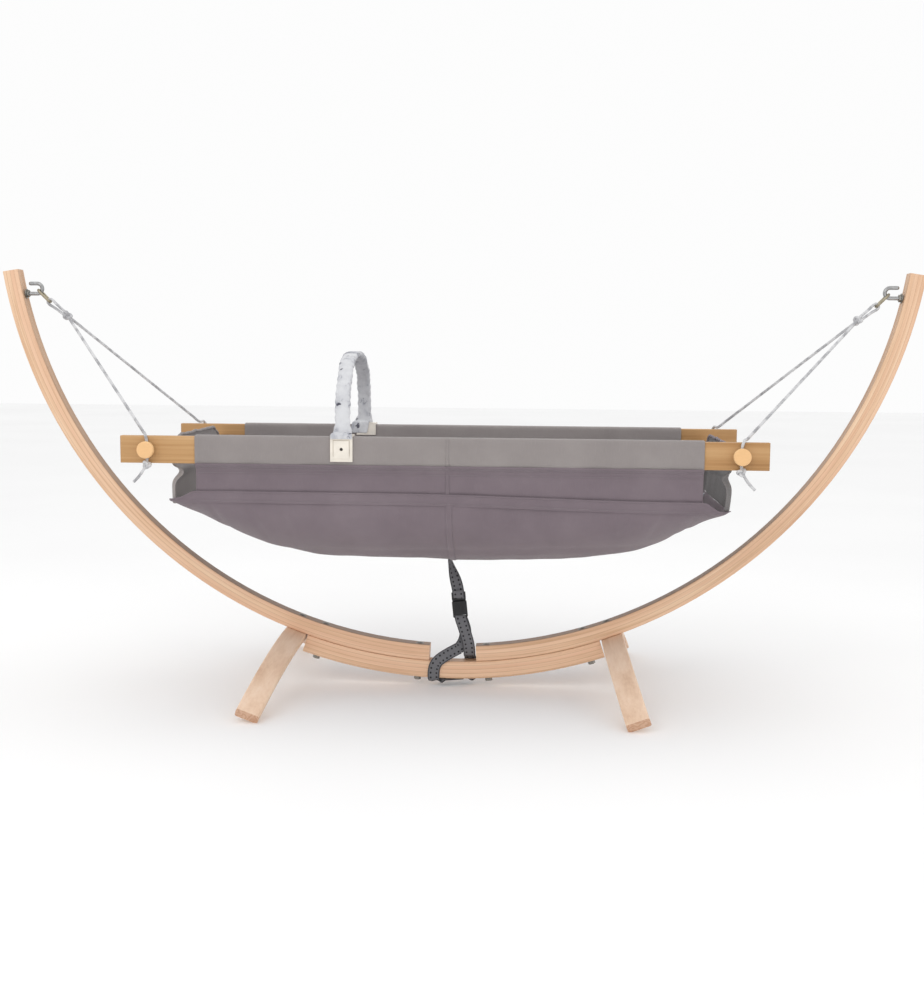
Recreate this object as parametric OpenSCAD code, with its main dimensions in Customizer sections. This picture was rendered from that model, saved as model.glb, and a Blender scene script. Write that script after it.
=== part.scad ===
// Cradle hammock for a baby, hung from a bent laminated wood stand.
// Origin: on the floor, midway between the feet. +X right, +Y to the rear, +Z up. Millimetres.

/* [Stand] */
// Radius of the face where the curved beams lie on the joiner
arc_r = 960; // [950:5:970]
// Height of the arc's centre above the floor
arc_zc = 1013; // [1010:1:1020]
// Thickness of each curved beam, measured along the radius
beam_t = 33; // [28:1:36]
// Thickness of the joiner, measured along the radius
joiner_t = 37; // [30:1:38]
// Depth of the beams and of the joiner, front to rear
beam_w = 35; // [33:1:36]
// Angle from the bottom of the arc to the top end of each beam
top_angle = 81; // [79:0.5:82]
// Half of the angle left open between the two beams
gap_angle = 3; // [2.9:0.1:3.2]
// Angle from the bottom of the arc to each end of the joiner
joiner_angle = 18.7; // [18.5:0.1:18.8]

/* [Feet] */
// Angle from the bottom of the arc to the middle of each foot
foot_angle = 20.3; // [20.2:0.1:20.6]
// Half of the distance that a foot spans, front to rear
foot_half = 343; // [330:1:350]
// Drop of a foot's upper face from the beam to its end
foot_drop = 97; // [96:0.5:98]
// Width of a foot along the arc
foot_w = 46; // [40:1:46]
// Thickness of a foot
foot_t = 20; // [18:1:20]

/* [Rails] */
// Length of each rail
rail_l = 1249; // [1240:1:1260]
// Height of each rail
rail_h = 53; // [50:1:54]
// Thickness of each rail
rail_t = 20; // [18:1:20]
// Distance from the middle of the front rail to the middle of the rear rail
rail_gap = 443; // [440:1:446]
// Height of the middle of the rails above the floor
rail_z = 510.5; // [508:0.5:513]
// How far the rails sit off centre in their sleeves
rail_shift = -12; // [-14:1:14]
// Distance from the middle of a rail to each rope peg
peg_x = 571; // [565:1:575]

/* [Fabric cradle] */
// Half of the length of the sleeves and side panels
panel_half = 490; // [480:1:495]
// Half of the length of the belly, out to the end panels
belly_half = 543; // [540:1:548]
// Height of the seam between the side panels and the belly
seam_z = 425; // [420:1:436]
// Height of the lowest point of the belly
belly_z = 276; // [272:1:280]
// Height of the belly's bottom at the end panels
belly_end_z = 398; // [390:1:405]
// Thickness of the fabric with its lining
cloth_t = 4; // [3:0.5:5]
// Thickness of the mattress pad
pad_t = 36; // [30:1:40]

/* [Ropes and metalwork] */
// Diameter of the ropes
rope_d = 6; // [5:0.5:6]
// Height of the screw hooks' shanks
hook_z = 818; // [816:1:820]
// Diameter of the hook wire
hook_d = 8; // [7:0.5:8]
// Diameter of the snap links' wire
link_d = 5; // [4:0.5:5]

/* [Toy arch] */
// Where the toy arch is clamped along the rails
toy_x = -203; // [-210:1:-190]
// Width of the toy arch's sleeve
toy_w = 29; // [27:1:32]
// Height of the top of the toy arch
toy_top_z = 706; // [700:1:710]

/* [Hidden] */

$fn = 64;
small = 0.3;                    // running gap between pieces that move past each other
bolt_d = 8;
bolt_angles = [4.35, 17];       // bolts through the beams and the joiner
rail_y = rail_gap / 2;
rail_top = rail_z + rail_h / 2;
rail_low = rail_z - rail_h / 2;
sleeve_t = 2;
sleeve_y = rail_y + rail_t / 2 + 0.5 + sleeve_t;     // outer face of a sleeve
sleeve_in = rail_y - rail_t / 2 - 0.5 - sleeve_t;    // inner face of a sleeve
belly_y = 226;                  // half width of the belly at the seam
belly_power = 2.3;              // how square the belly's cross-section is
belly_rise = 3.5;               // how late the belly rises towards its ends

// The hook bends round this point, and the snap link hangs inside the bend.
hook_x = 880.5;
bend_r = 10.5;
bend_z = hook_z + bend_r;
link_gap = bend_r - hook_d / 2 - link_d / 2 - 0.3;
link_x = hook_x - link_gap * cos(45);
link_z = bend_z - link_gap * sin(45);
link_r = 8;
link_l = 35;
gate_low = link_l - 9.5;
gate_high = 13;

knot = [818, 0, 773];
knot_r = 9;
eye_r = link_d / 2 + rope_d / 2 + 0.15;
eye_x = link_x - link_l * cos(45);
eye_z = link_z - link_l * sin(45);

peg_neck_r = 8;
peg_neck_l = 8;
peg_r = 16.5;
peg_t = 12;
rope_y = rail_y + rail_t / 2 + peg_neck_l / 2;       // middle plane of the peg's neck
tie_r = peg_neck_r + rope_d / 2 + 0.2;
tie_z = rail_z - peg_r - 8 - 5;                        // the knot hangs clear below the peg

buckle = [13, 0, 168];
buckle_tilt = -6;
web_w = 25;
web_t = 1.8;

function unit(v) = v / norm(v);
function cut(v, low, high) = min(high, max(low, v));
function peg_at(side) = rail_shift + side * peg_x;

// A rounded bar's section, as true arcs.
module soft_rect(a, b, r) {
    square([a - 2 * r, b], center = true);
    square([a, b - 2 * r], center = true);
    for (x = [-1, 1], y = [-1, 1])
        translate([x * (a / 2 - r), y * (b / 2 - r)]) circle(r, $fn = 24);
}

// Places its children at an angle along the arc: local -Z points away from the centre.
module at_arc(angle) {
    translate([0, 0, arc_zc]) rotate([0, -angle, 0]) children();
}

module arc_bar(inner, outer, low, high, r) {
    translate([0, 0, arc_zc]) rotate([90, 0, 0]) rotate([0, 0, low - 90])
        rotate_extrude(angle = high - low, $fn = 180)
            translate([(inner + outer) / 2, 0]) soft_rect(outer - inner, beam_w, r);
}

module radial_hole(angle, inner, outer, r) {
    at_arc(angle) translate([0, 0, -outer]) cylinder(h = outer - inner, r = r);
}

// Joins closed outlines into one solid. Each has the same even number of points, and its two
// halves run side by side, so that the end caps are strips between them.
module loft(outlines) {
    n = len(outlines[0]);
    m = len(outlines);
    points = [for (outline = outlines) for (p = outline) p];
    sides = [for (i = [0 : m - 2]) for (j = [0 : n - 1]) let (k = (j + 1) % n)
        for (face = [[i * n + j, (i + 1) * n + k, i * n + k],
                     [i * n + j, (i + 1) * n + j, (i + 1) * n + k]]) face];
    first = [for (j = [0 : n / 2 - 2]) for (face = [[j, j + 1, n - 1 - j],
                                                    [j + 1, n - 2 - j, n - 1 - j]]) face];
    last = [for (f = first) [for (k = [2, 1, 0]) f[k] + (m - 1) * n]];
    polyhedron(points = points, faces = concat(first, sides, last), convexity = 8);
}

// A round tube through a list of points. The reference is any direction it never runs along.
module tube(route, r, sides, reference) {
    m = len(route);
    loft([for (i = [0 : m - 1])
        let (t = unit(route[min(i + 1, m - 1)] - route[max(i - 1, 0)]),
             u = unit(cross(reference, t)), v = cross(t, u))
        [for (j = [0 : sides - 1]) let (a = 360 * j / sides)
            route[i] + r * (cos(a) * u + sin(a) * v)]]);
}

// ---- stand ----

module arc_half(side) {
    low = side > 0 ? gap_angle : -top_angle;
    high = side > 0 ? top_angle : -gap_angle;
    color([0.88, 0.71, 0.55]) difference() {
        arc_bar(arc_r - beam_t, arc_r, low, high, 4);
        for (angle = bolt_angles)
            radial_hole(side * angle, arc_r - beam_t - 5, arc_r + 5, bolt_d / 2 + 0.2);
        radial_hole(side * foot_angle, arc_r - beam_t - 5, arc_r + 5, bolt_d / 2 + 0.2);
        translate([side * 890, 0, hook_z]) rotate([0, side * 90, 0])
            cylinder(h = 47, r = hook_d / 2 + 0.2);
    }
}

module arc_beam_left() { arc_half(-1); }
module arc_beam_right() { arc_half(1); }

module arc_joiner() {
    color([0.86, 0.69, 0.53]) difference() {
        arc_bar(arc_r, arc_r + joiner_t, -joiner_angle, joiner_angle, 4);
        for (side = [-1, 1], angle = bolt_angles)
            radial_hole(side * angle, arc_r - 5, arc_r + joiner_t + 5, bolt_d / 2 + 0.2);
    }
}

// A foot is a bent plank: its arch runs front to rear, and its low corner is planed on the floor.
foot_r = (foot_half * foot_half + foot_drop * foot_drop) / (2 * foot_drop);
foot_sweep = asin(foot_half / foot_r);

module foot(side) {
    color([0.91, 0.80, 0.67]) intersection() {
        difference() {
            at_arc(side * foot_angle) translate([0, 0, -arc_r - foot_r]) rotate([90, 0, 90])
                rotate([0, 0, 90 - foot_sweep])
                    rotate_extrude(angle = 2 * foot_sweep, $fn = 180)
                        translate([foot_r - foot_t / 2, 0]) soft_rect(foot_t, foot_w, 4);
            radial_hole(side * foot_angle, arc_r - 5, arc_r + foot_t + 5, bolt_d / 2 + 0.2);
        }
        translate([-600, -500, 0]) cube([1200, 1000, 400]);
    }
}

module foot_left() { foot(-1); }
module foot_right() { foot(1); }

// A dome-headed bolt from the beam's inner face outwards.
module bolt(angle, length) {
    at_arc(angle) translate([0, 0, -(arc_r - beam_t) + 0.1]) {
        translate([0, 0, -length]) cylinder(h = length, r = bolt_d / 2);
        intersection() {
            translate([0, 0, -14]) sphere(r = 16.6);
            cylinder(h = 6, r = 12);
        }
    }
}

module washer_under(angle, at_r) {
    at_arc(angle) translate([0, 0, -at_r - 1.7]) difference() {
        cylinder(h = 1.6, r = 10);
        translate([0, 0, -1]) cylinder(h = 4, r = bolt_d / 2 + 0.1);
    }
}

module nut_under(angle, at_r) {
    at_arc(angle) translate([0, 0, -at_r - 8.3]) difference() {
        cylinder(h = 6.5, r = 7.5, $fn = 6);
        translate([0, 0, -1]) cylinder(h = 9, r = bolt_d / 2 + 0.1);
    }
}

module beam_bolts() {
    color([0.62, 0.62, 0.64]) for (side = [-1, 1], angle = bolt_angles)
        bolt(side * angle, beam_t + joiner_t + 9);
}

module beam_washers() {
    color([0.70, 0.70, 0.72]) for (side = [-1, 1], angle = bolt_angles)
        washer_under(side * angle, arc_r + joiner_t);
}

module beam_nuts() {
    color([0.66, 0.66, 0.68]) for (side = [-1, 1], angle = bolt_angles)
        nut_under(side * angle, arc_r + joiner_t);
}

module foot_bolts() {
    color([0.62, 0.62, 0.64]) for (side = [-1, 1]) bolt(side * foot_angle, beam_t + foot_t + 9);
}

module foot_washers() {
    color([0.70, 0.70, 0.72]) for (side = [-1, 1])
        washer_under(side * foot_angle, arc_r + foot_t + 0.1);
}

module foot_nuts() {
    color([0.66, 0.66, 0.68]) for (side = [-1, 1])
        nut_under(side * foot_angle, arc_r + foot_t + 0.1);
}

// ---- hooks and snap links ----

module screw_hook(side) {
    color([0.75, 0.75, 0.77]) {
        translate([side * hook_x, 0, hook_z]) rotate([0, side * 90, 0])
            cylinder(h = 55, r = hook_d / 2, $fn = 32);
        translate([side * hook_x, 0, bend_z]) rotate([90, 0, 0]) rotate([0, 0, side > 0 ? 90 : -90])
            rotate_extrude(angle = 180) translate([bend_r, 0]) circle(r = hook_d / 2, $fn = 32);
        translate([side * hook_x, 0, bend_z + bend_r]) rotate([0, side * 90, 0])
            cylinder(h = 14, r = hook_d / 2, $fn = 32);
        translate([side * (hook_x + 14), 0, bend_z + bend_r]) sphere(r = hook_d / 2, $fn = 32);
    }
}

module screw_hook_left() { screw_hook(-1); }
module screw_hook_right() { screw_hook(1); }

module hook_washers() {
    color([0.70, 0.70, 0.72]) for (side = [-1, 1])
        translate([side * 904, 0, hook_z]) rotate([0, side * -90, 0]) difference() {
            cylinder(h = 1.6, r = 10);
            translate([0, 0, -1]) cylinder(h = 4, r = hook_d / 2 + 0.1);
        }
}

module hook_nuts() {
    color([0.66, 0.66, 0.68]) for (side = [-1, 1])
        translate([side * 902.3, 0, hook_z]) rotate([0, side * -90, 0]) difference() {
            cylinder(h = 5, r = 7.5, $fn = 6);
            translate([0, 0, -1]) cylinder(h = 8, r = hook_d / 2 + 0.1);
        }
}

// Local frame of a snap link: it hangs along -Z from the hook, and its ring lies in the YZ plane.
module at_link(side) {
    translate([side * link_x, 0, link_z]) rotate([0, side * 45, 0]) children();
}

module half_ring(r, wire_r) {
    rotate([90, 0, 90]) rotate_extrude(angle = 180, $fn = 48)
        translate([r, 0]) circle(r = wire_r, $fn = 24);
}

module snap_link(side) {
    color([0.78, 0.76, 0.70]) at_link(side) {
        translate([0, 0, -link_r]) half_ring(link_r, link_d / 2);
        translate([0, 0, -link_l + link_r]) rotate([180, 0, 0]) half_ring(link_r, link_d / 2);
        translate([0, -link_r, -link_l + link_r])
            cylinder(h = link_l - 2 * link_r, r = link_d / 2, $fn = 24);
        translate([0, link_r, -gate_high + small])
            cylinder(h = gate_high - link_r - small, r = link_d / 2, $fn = 24);
    }
}

module snap_link_left() { snap_link(-1); }
module snap_link_right() { snap_link(1); }

module link_gate(side) {
    color([0.60, 0.59, 0.56]) at_link(side) translate([0, link_r, -gate_low])
        cylinder(h = gate_low - gate_high, r = link_d / 2 - 0.2, $fn = 24);
}

module link_gate_left() { link_gate(-1); }
module link_gate_right() { link_gate(1); }

// ---- ropes ----

// The rope doubles back through the snap link and runs down into its knot.
module rope_eye(side) {
    along = unit([knot[0] - eye_x, 0, knot[2] - eye_z]);
    across = [along[2], 0, -along[0]];
    eye = [eye_x, 0, eye_z];
    reach = norm(knot - eye) - knot_r - 2;
    turns = [for (a = [90 : -15 : -90]) eye + eye_r * (sin(a) * across - cos(a) * along)];
    ends = [eye + reach * along + 3.4 * across, eye + reach * along - 3.4 * across];
    route = concat([ends[0]], turns, [ends[1]]);
    color([0.86, 0.86, 0.86])
        tube([for (p = route) [side * p[0], p[1], p[2]]], rope_d / 2, 10, [0, 1, 0]);
}

module rope_eye_left() { rope_eye(-1); }
module rope_eye_right() { rope_eye(1); }

module rope_knot(side) {
    color([0.84, 0.84, 0.84]) translate([side * knot[0], 0, knot[2]]) sphere(r = knot_r, $fn = 32);
}

module rope_knot_left() { rope_knot(-1); }
module rope_knot_right() { rope_knot(1); }

// From the knot, over the top of the rail, and down its outer face to the peg's neck.
module rope_leg(side, depth) {
    start = [side * knot[0], 0, knot[2]];
    x = peg_at(side);
    over = [x + side * 12, depth * (rail_y - 8), rail_top + 5];
    edge = [x + side * 4, depth * (rope_y - 3), rail_top + 4];
    face = [x + side, depth * rope_y, rail_top - 2];
    end = [x, depth * rope_y, rail_z + tie_r + rope_d / 2 + 0.1];
    begin = start + (knot_r + 1) * unit(over - start);
    color([0.88, 0.88, 0.88]) tube([begin, over, edge, face, end], rope_d / 2, 10, [1, 0, 0]);
}

module rope_front_left() { rope_leg(-1, -1); }
module rope_front_right() { rope_leg(1, -1); }
module rope_rear_left() { rope_leg(-1, 1); }
module rope_rear_right() { rope_leg(1, 1); }

// The turn round each peg's neck, and the knot under it.
module rope_ties() {
    color([0.86, 0.86, 0.86]) for (side = [-1, 1], depth = [-1, 1]) {
        translate([peg_at(side), depth * rope_y, rail_z]) rotate([90, 0, 0])
            rotate_extrude($fn = 48) translate([tie_r, 0]) circle(r = rope_d / 2, $fn = 24);
        translate([peg_at(side), depth * (rope_y + 3), tie_z]) sphere(r = 8, $fn = 32);
        translate([peg_at(side), depth * rope_y, tie_z + 8.5])
            cylinder(h = rail_z - tie_r - rope_d / 2 - tie_z - 8.6, r = rope_d / 2, $fn = 24);
    }
}

// The free end of each rope, below its knot: points from the knot, in the plane of the tail.
tail_route = [[5, -7], [10, -15], [17, -24], [26, -33]];

module rope_tails() {
    color([0.88, 0.88, 0.88]) for (side = [-1, 1], depth = [-1, 1])
        tube([for (p = tail_route) [peg_at(side) + side * p[0], depth * (rope_y + 3), tie_z + p[1]]],
             rope_d / 2, 10, [0, 1, 0]);
}

// ---- rails and pegs ----

module rail(depth) {
    color([0.79, 0.60, 0.40]) translate([rail_shift, depth * rail_y, rail_z]) difference() {
        rotate([0, 90, 0]) rotate([0, 0, 90]) linear_extrude(rail_l, center = true)
            soft_rect(rail_t, rail_h, 2);
        for (side = [-1, 1])
            translate([side * peg_x, 0, 0]) rotate([90, 0, 0])
                cylinder(h = 40, r = 5.1, center = true);
    }
}

module rail_front() { rail(-1); }
module rail_rear() { rail(1); }

// A turned peg: a dowel glued in the rail, a neck for the rope, and a round head.
module peg(side, depth) {
    color([0.95, 0.76, 0.52])
        translate([peg_at(side), depth * (rail_y + rail_t / 2), rail_z]) rotate([-90 * depth, 0, 0]) {
            translate([0, 0, -rail_t]) cylinder(h = rail_t + 1, r = 5, $fn = 32);
            cylinder(h = peg_neck_l, r = peg_neck_r);
            translate([0, 0, peg_neck_l]) rotate_extrude() {
                square([peg_r - 3, peg_t]);
                translate([0, 3]) square([peg_r, peg_t - 6]);
                for (z = [3, peg_t - 3]) translate([peg_r - 3, z]) circle(r = 3, $fn = 24);
            }
        }
}

module peg_front_left() { peg(-1, -1); }
module peg_front_right() { peg(1, -1); }
module peg_rear_left() { peg(-1, 1); }
module peg_rear_right() { peg(1, 1); }

// ---- fabric cradle ----

// A sleeve round the rail with the flat side panel hanging below it.
module side_panel(depth) {
    mid = (sleeve_y + sleeve_in) / 2;
    color([0.58, 0.56, 0.55]) difference() {
        union() {
            translate([-panel_half, depth * mid - (sleeve_y - sleeve_in) / 2, rail_low - 2.5])
                cube([2 * panel_half, sleeve_y - sleeve_in, rail_h + 5]);
            translate([-panel_half, depth * (belly_y - 2) - 2, seam_z])
                cube([2 * panel_half, cloth_t, rail_low - seam_z]);
        }
        translate([-panel_half - 5, depth * mid - rail_t / 2 - 0.5, rail_low - 0.5])
            cube([2 * panel_half + 10, rail_t + 1, rail_h + 1]);
    }
}

module side_panel_front() { side_panel(-1); }
module side_panel_rear() { side_panel(1); }

// Height of the belly's bottom along its length, and of its surface across its width.
function keel_z(x) = belly_z + (belly_end_z - belly_z) * pow(abs(x) / (belly_half + 2), belly_rise);
function rim_z(x) = seam_z - 16 * cut((abs(x) - panel_half) / 40, 0, 1);
function belly_surface(x, y, inset) =
    rim_z(x) - (rim_z(x) - keel_z(x) - inset)
        * pow(max(0, 1 - pow(abs(y) / (belly_y - inset), belly_power)), 1 / belly_power);
belly_steps = 20;
belly_sides = 18;
function across(k, n, half) = -half * cos(180 * k / n);

module belly_panel() {
    color([0.50, 0.46, 0.48]) loft([for (i = [0 : belly_steps])
        let (x = across(i, belly_steps, belly_half))
        concat(
            [for (k = [0 : belly_sides]) let (y = across(k, belly_sides, belly_y))
                [x, y, belly_surface(x, y, 0)]],
            [for (k = [belly_sides : -1 : 0]) let (y = across(k, belly_sides, belly_y - cloth_t))
                [x, y, belly_surface(x, y, cloth_t)]])]);
}

pad_half = 508;
pad_y = 165;
pad_steps = 16;

// The pad turns up at its ends.
function pad_lift(x) = 42 * pow(cut((abs(x) - 400) / 108, 0, 1), 2);

module mattress_pad() {
    color([0.84, 0.84, 0.87]) loft([for (i = [0 : pad_steps])
        let (x = across(i, pad_steps, pad_half))
        concat(
            [for (k = [0 : 10]) let (y = across(k, 10, pad_y))
                [x, y, belly_surface(x, y, cloth_t) + 3 + pad_lift(x)]],
            [for (k = [10 : -1 : 0]) let (y = across(k, 10, pad_y - 4))
                [x, y, belly_surface(x, y, cloth_t) + pad_t + pad_lift(x)]])]);
}

// The end panel stands on the belly's end and reaches up between the rails.
module end_panel(side) {
    inner = rail_y - rail_t / 2 - 1;
    low = [for (k = [0 : 16]) let (y = across(k, 16, belly_y - 3))
        [y, belly_surface(belly_half, y, 0)]];
    high = [[inner, rail_low - 1], [inner, rail_top - 7], [110, rail_top + 1], [0, rail_top + 3],
            [-110, rail_top + 1], [-inner, rail_top - 7], [-inner, rail_low - 1]];
    corner = [[belly_y - 3, rail_low - 1]];
    color([0.50, 0.47, 0.48]) translate([side > 0 ? belly_half + 0.1 : -belly_half - 3.1, 0, 0])
        rotate([90, 0, 90]) linear_extrude(3)
            polygon(concat(low, corner, high, [[3 - belly_y, rail_low - 1]]));
}

module end_panel_left() { end_panel(-1); }
module end_panel_right() { end_panel(1); }

module strap_patch() {
    color([0.43, 0.43, 0.44]) translate([-8, 0, belly_z - 1.6]) cube([40, 40, 2.2], center = true);
}

// ---- toy arch ----

toy_foot_z = rail_top + 7;
toy_half = rail_y - 2;
toy_lean = 18;                  // how far the rear foot stands to the left of the front one
clamp_lean = 10;                // how far the rear clamp sits to the left of the front one
function toy_curve(a) = let (c = cos(a), s = sin(a))
    [sign(c) * pow(abs(c), 2 / 2.6), pow(s, 2 / 2.6)];

// Outlines of a flat bar swept over the cradle, from the front clamp to the rear clamp.
toy_steps = 28;
function toy_outlines(width, thick) = [for (i = [0 : toy_steps])
    let (a = 180 * i / toy_steps, at = toy_curve(a), before = toy_curve(max(a - 3, 0)),
         after = toy_curve(min(a + 3, 180)), height = toy_top_z - 6 - toy_foot_z,
         t = unit([(after[0] - before[0]) * toy_half, (after[1] - before[1]) * height]),
         y = at[0] * toy_half, z = toy_foot_z + at[1] * height)
    [for (c = [[-1, -1], [1, -1], [1, 1], [-1, 1]])
        [toy_x - toy_lean * (at[0] + 1) / 2 + c[0] * width / 2, y + c[1] * t[1] * thick / 2, z - c[1] * t[0] * thick / 2]]];

// The sleeve is one closed wall: an outer skin, an inner skin and a rim at each end.
module toy_arch_sleeve() {
    n = 4;
    m = toy_steps + 1;
    outer = [for (o = toy_outlines(toy_w, 12)) for (p = o) p];
    inner = [for (o = toy_outlines(toy_w - 5, 7)) for (p = o) p];
    skin = [for (i = [0 : m - 2]) for (j = [0 : n - 1]) let (k = (j + 1) % n)
        for (face = [[i * n + j, (i + 1) * n + k, i * n + k],
                     [i * n + j, (i + 1) * n + j, (i + 1) * n + k]]) face];
    lining = [for (f = skin) [for (k = [2, 1, 0]) f[k] + m * n]];
    rim = [for (j = [0 : n - 1]) let (k = (j + 1) % n)
        for (face = [[j, k, m * n + k], [j, m * n + k, m * n + j]]) face];
    rim_far = [for (f = rim) [for (k = [2, 1, 0]) f[k] + (m - 1) * n]];
    color([0.86, 0.86, 0.89])
        polyhedron(points = concat(outer, inner), faces = concat(skin, lining, rim, rim_far), convexity = 8);
}

module toy_arch_core() {
    color([0.75, 0.75, 0.76]) loft(toy_outlines(toy_w - 8, 4));
}

function clamp_x(depth) = toy_x - (depth > 0 ? clamp_lean : 0);

// A plastic clip that straddles the sleeved rail.
module clamp(depth) {
    half = 21.5;
    x = clamp_x(depth);
    outer = sleeve_y + small;
    inner = sleeve_in - small;
    top = rail_top + 2.5 + small;
    color([0.92, 0.89, 0.83]) difference() {
        union() {
            translate([x - half, depth > 0 ? outer : -outer - 3.5, rail_z - 19])
                cube([2 * half, 3.5, top + 3.5 - rail_z + 19]);
            translate([x - half, depth > 0 ? inner - 3 : -inner, rail_z + 6])
                cube([2 * half, 3, top + 3.5 - rail_z - 6]);
            translate([x - half, depth > 0 ? inner - 1 : -outer - 1, top])
                cube([2 * half, outer - inner + 2, 3.5]);
        }
        translate([x, depth * outer, rail_z + 9]) rotate([90, 0, 0])
            cylinder(h = 20, r = 2.2, center = true, $fn = 32);
    }
}

module clamp_front() { clamp(-1); }
module clamp_rear() { clamp(1); }

module clamp_screws() {
    color([0.35, 0.33, 0.30]) for (depth = [-1, 1])
        translate([clamp_x(depth), depth * (sleeve_y + small + 0.1), rail_z + 9]) rotate([-90 * depth, 0, 0]) {
            cylinder(h = 3.6, r = 2, $fn = 32);
            translate([0, 0, 3.5]) cylinder(h = 1.2, r1 = 3.6, r2 = 2.8, $fn = 32);
        }
}

// ---- tether strap and buckle ----

// One end of a webbing run: a thin slice of strap at a point, turned about Z and leaning about Y.
module web_slice(at, turn, lean = 0) {
    translate(at) rotate([0, lean, turn]) cube([web_w, web_t, 1], center = true);
}

module strap_upper() {
    color([0.36, 0.36, 0.38]) {
        hull() { web_slice([-8, 0, belly_z - 4], 70); web_slice([-1, 0, 245], 50); }
        hull() { web_slice([-1, 0, 245], 50); web_slice([5.5, 0, 222], 20); }
        hull() { web_slice([5.5, 0, 222], 20); web_slice([9.5, 0, 201], 0); }
    }
}

module at_buckle() {
    translate(buckle) rotate([0, buckle_tilt, 0]) children();
}

module buckle_female() {
    color([0.10, 0.10, 0.12]) at_buckle() difference() {
        translate([-15.5, -4.5, -23]) cube([31, 9, 36]);
        translate([-13, -2.8, -12]) cube([26, 5.6, 30]);
        translate([-13, -6, -20]) cube([26, 12, 4]);
        for (x = [-1, 1]) translate([x * 15, 0, -2]) cube([6, 4, 12], center = true);
    }
}

// The male half carries the ladder bars that adjust the strap.
module buckle_male() {
    color([0.12, 0.12, 0.14]) at_buckle() {
        translate([-14.5, -2.4, 13.4]) cube([29, 4.8, 4]);
        for (x = [-11.8, -1.5, 8.8]) translate([x, -2, -10]) cube([3, 4, 24]);
        for (x = [-14.5, 11.5]) translate([x, -2.4, 17]) cube([3, 4.8, 14]);
        for (z = [21.5, 28]) translate([-14, -2, z]) cube([28, 4, 3]);
    }
}

// Two runs leave the buckle: one in front, down to the gap, and one behind it that turns left.
module strap_lower() {
    color([0.40, 0.40, 0.42]) {
        hull() { web_slice([16, -6, 143.5], 0); web_slice([28, -9, 108], 0); }
        hull() { web_slice([28, -9, 108], 0); web_slice([34, -8, 82], 0); }
        hull() { web_slice([34, -8, 82], 0); web_slice([35, -4, 67], 0); }
        hull() { web_slice([15, 5, 143.5], 0); web_slice([25, 3, 116], 0); }
        hull() { web_slice([25, 3, 116], 0); web_slice([24, 1, 100], 0, 25); }
        hull() { web_slice([24, 1, 100], 0, 25); web_slice([12, -7, 79.5], 0, 68); }
    }
}

// The strap crosses to the front of the joiner, goes down it and under it, and up its rear face.
module strap_loop() {
    y = beam_w / 2 + 1.6;
    color([0.40, 0.40, 0.42]) {
        hull() { web_slice([11, -7.5, 79], 0, 68); web_slice([-8, -13, 71], 0, 75); }
        hull() { web_slice([-8, -13, 71], 0, 75); web_slice([-24, -18.5, 64], 0, 50); }
        hull() { web_slice([-24, -18.5, 64], 0, 50); web_slice([-35, -y, 54], 0, 18); }
        hull() { web_slice([-35, -y, 54], 0, 18); web_slice([-40, -y, 40], 0); }
        hull() { web_slice([-40, -y, 40], 0); web_slice([-40, -y, 13], 0); }
        hull() { web_slice([-40, -y, 13], 0); web_slice([37, y, 13], 0); }
        hull() { web_slice([37, y, 13], 0); web_slice([35.5, y + 0.3, 52], 0); }
        hull() { web_slice([35.5, y + 0.3, 52], 0); web_slice([35.3, 15, 58], 0); }
        hull() { web_slice([35.3, 15, 58], 0); web_slice([35, -3.6, 65.5], 0); }
    }
}

arc_beam_left();
arc_beam_right();
arc_joiner();
foot_left();
foot_right();
beam_bolts();
beam_washers();
beam_nuts();
foot_bolts();
foot_washers();
foot_nuts();
screw_hook_left();
screw_hook_right();
hook_washers();
hook_nuts();
snap_link_left();
snap_link_right();
link_gate_left();
link_gate_right();
rope_eye_left();
rope_eye_right();
rope_knot_left();
rope_knot_right();
rope_front_left();
rope_front_right();
rope_rear_left();
rope_rear_right();
rope_ties();
rope_tails();
rail_front();
rail_rear();
peg_front_left();
peg_front_right();
peg_rear_left();
peg_rear_right();
side_panel_front();
side_panel_rear();
end_panel_left();
end_panel_right();
belly_panel();
mattress_pad();
strap_patch();
toy_arch_sleeve();
toy_arch_core();
clamp_front();
clamp_rear();
clamp_screws();
strap_upper();
buckle_male();
buckle_female();
strap_lower();
strap_loop();
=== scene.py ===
import math

import bpy
import numpy as np
from mathutils import Matrix, Vector, noise


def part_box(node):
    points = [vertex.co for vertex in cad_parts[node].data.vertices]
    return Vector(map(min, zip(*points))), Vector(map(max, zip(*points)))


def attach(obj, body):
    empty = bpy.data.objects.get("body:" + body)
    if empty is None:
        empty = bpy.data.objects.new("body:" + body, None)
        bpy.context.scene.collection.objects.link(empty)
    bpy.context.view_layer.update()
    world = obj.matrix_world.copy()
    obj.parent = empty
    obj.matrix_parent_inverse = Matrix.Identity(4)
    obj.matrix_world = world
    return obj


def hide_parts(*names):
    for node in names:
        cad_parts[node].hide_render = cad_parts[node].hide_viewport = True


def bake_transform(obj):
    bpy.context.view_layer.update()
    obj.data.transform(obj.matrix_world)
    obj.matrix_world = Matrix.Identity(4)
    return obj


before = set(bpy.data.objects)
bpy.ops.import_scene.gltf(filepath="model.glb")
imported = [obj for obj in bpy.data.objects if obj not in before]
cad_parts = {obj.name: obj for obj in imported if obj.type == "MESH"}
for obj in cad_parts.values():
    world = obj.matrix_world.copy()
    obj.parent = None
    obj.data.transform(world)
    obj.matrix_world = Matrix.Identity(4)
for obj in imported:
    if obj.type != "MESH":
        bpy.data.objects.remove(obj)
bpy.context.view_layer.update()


# ---- the cradle's own measures, in metres, read off the frame ----

def middle(node):
    low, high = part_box(node)
    return (low + high) / 2


ARC_R = 0.960
ARC_Z = 1.013
BEAM_T = 0.033
LAYER_T = 0.0083
FOOT_ANGLE = math.radians(20.3)
FOOT_HALF = 0.343
FOOT_RISE = 0.097

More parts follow.
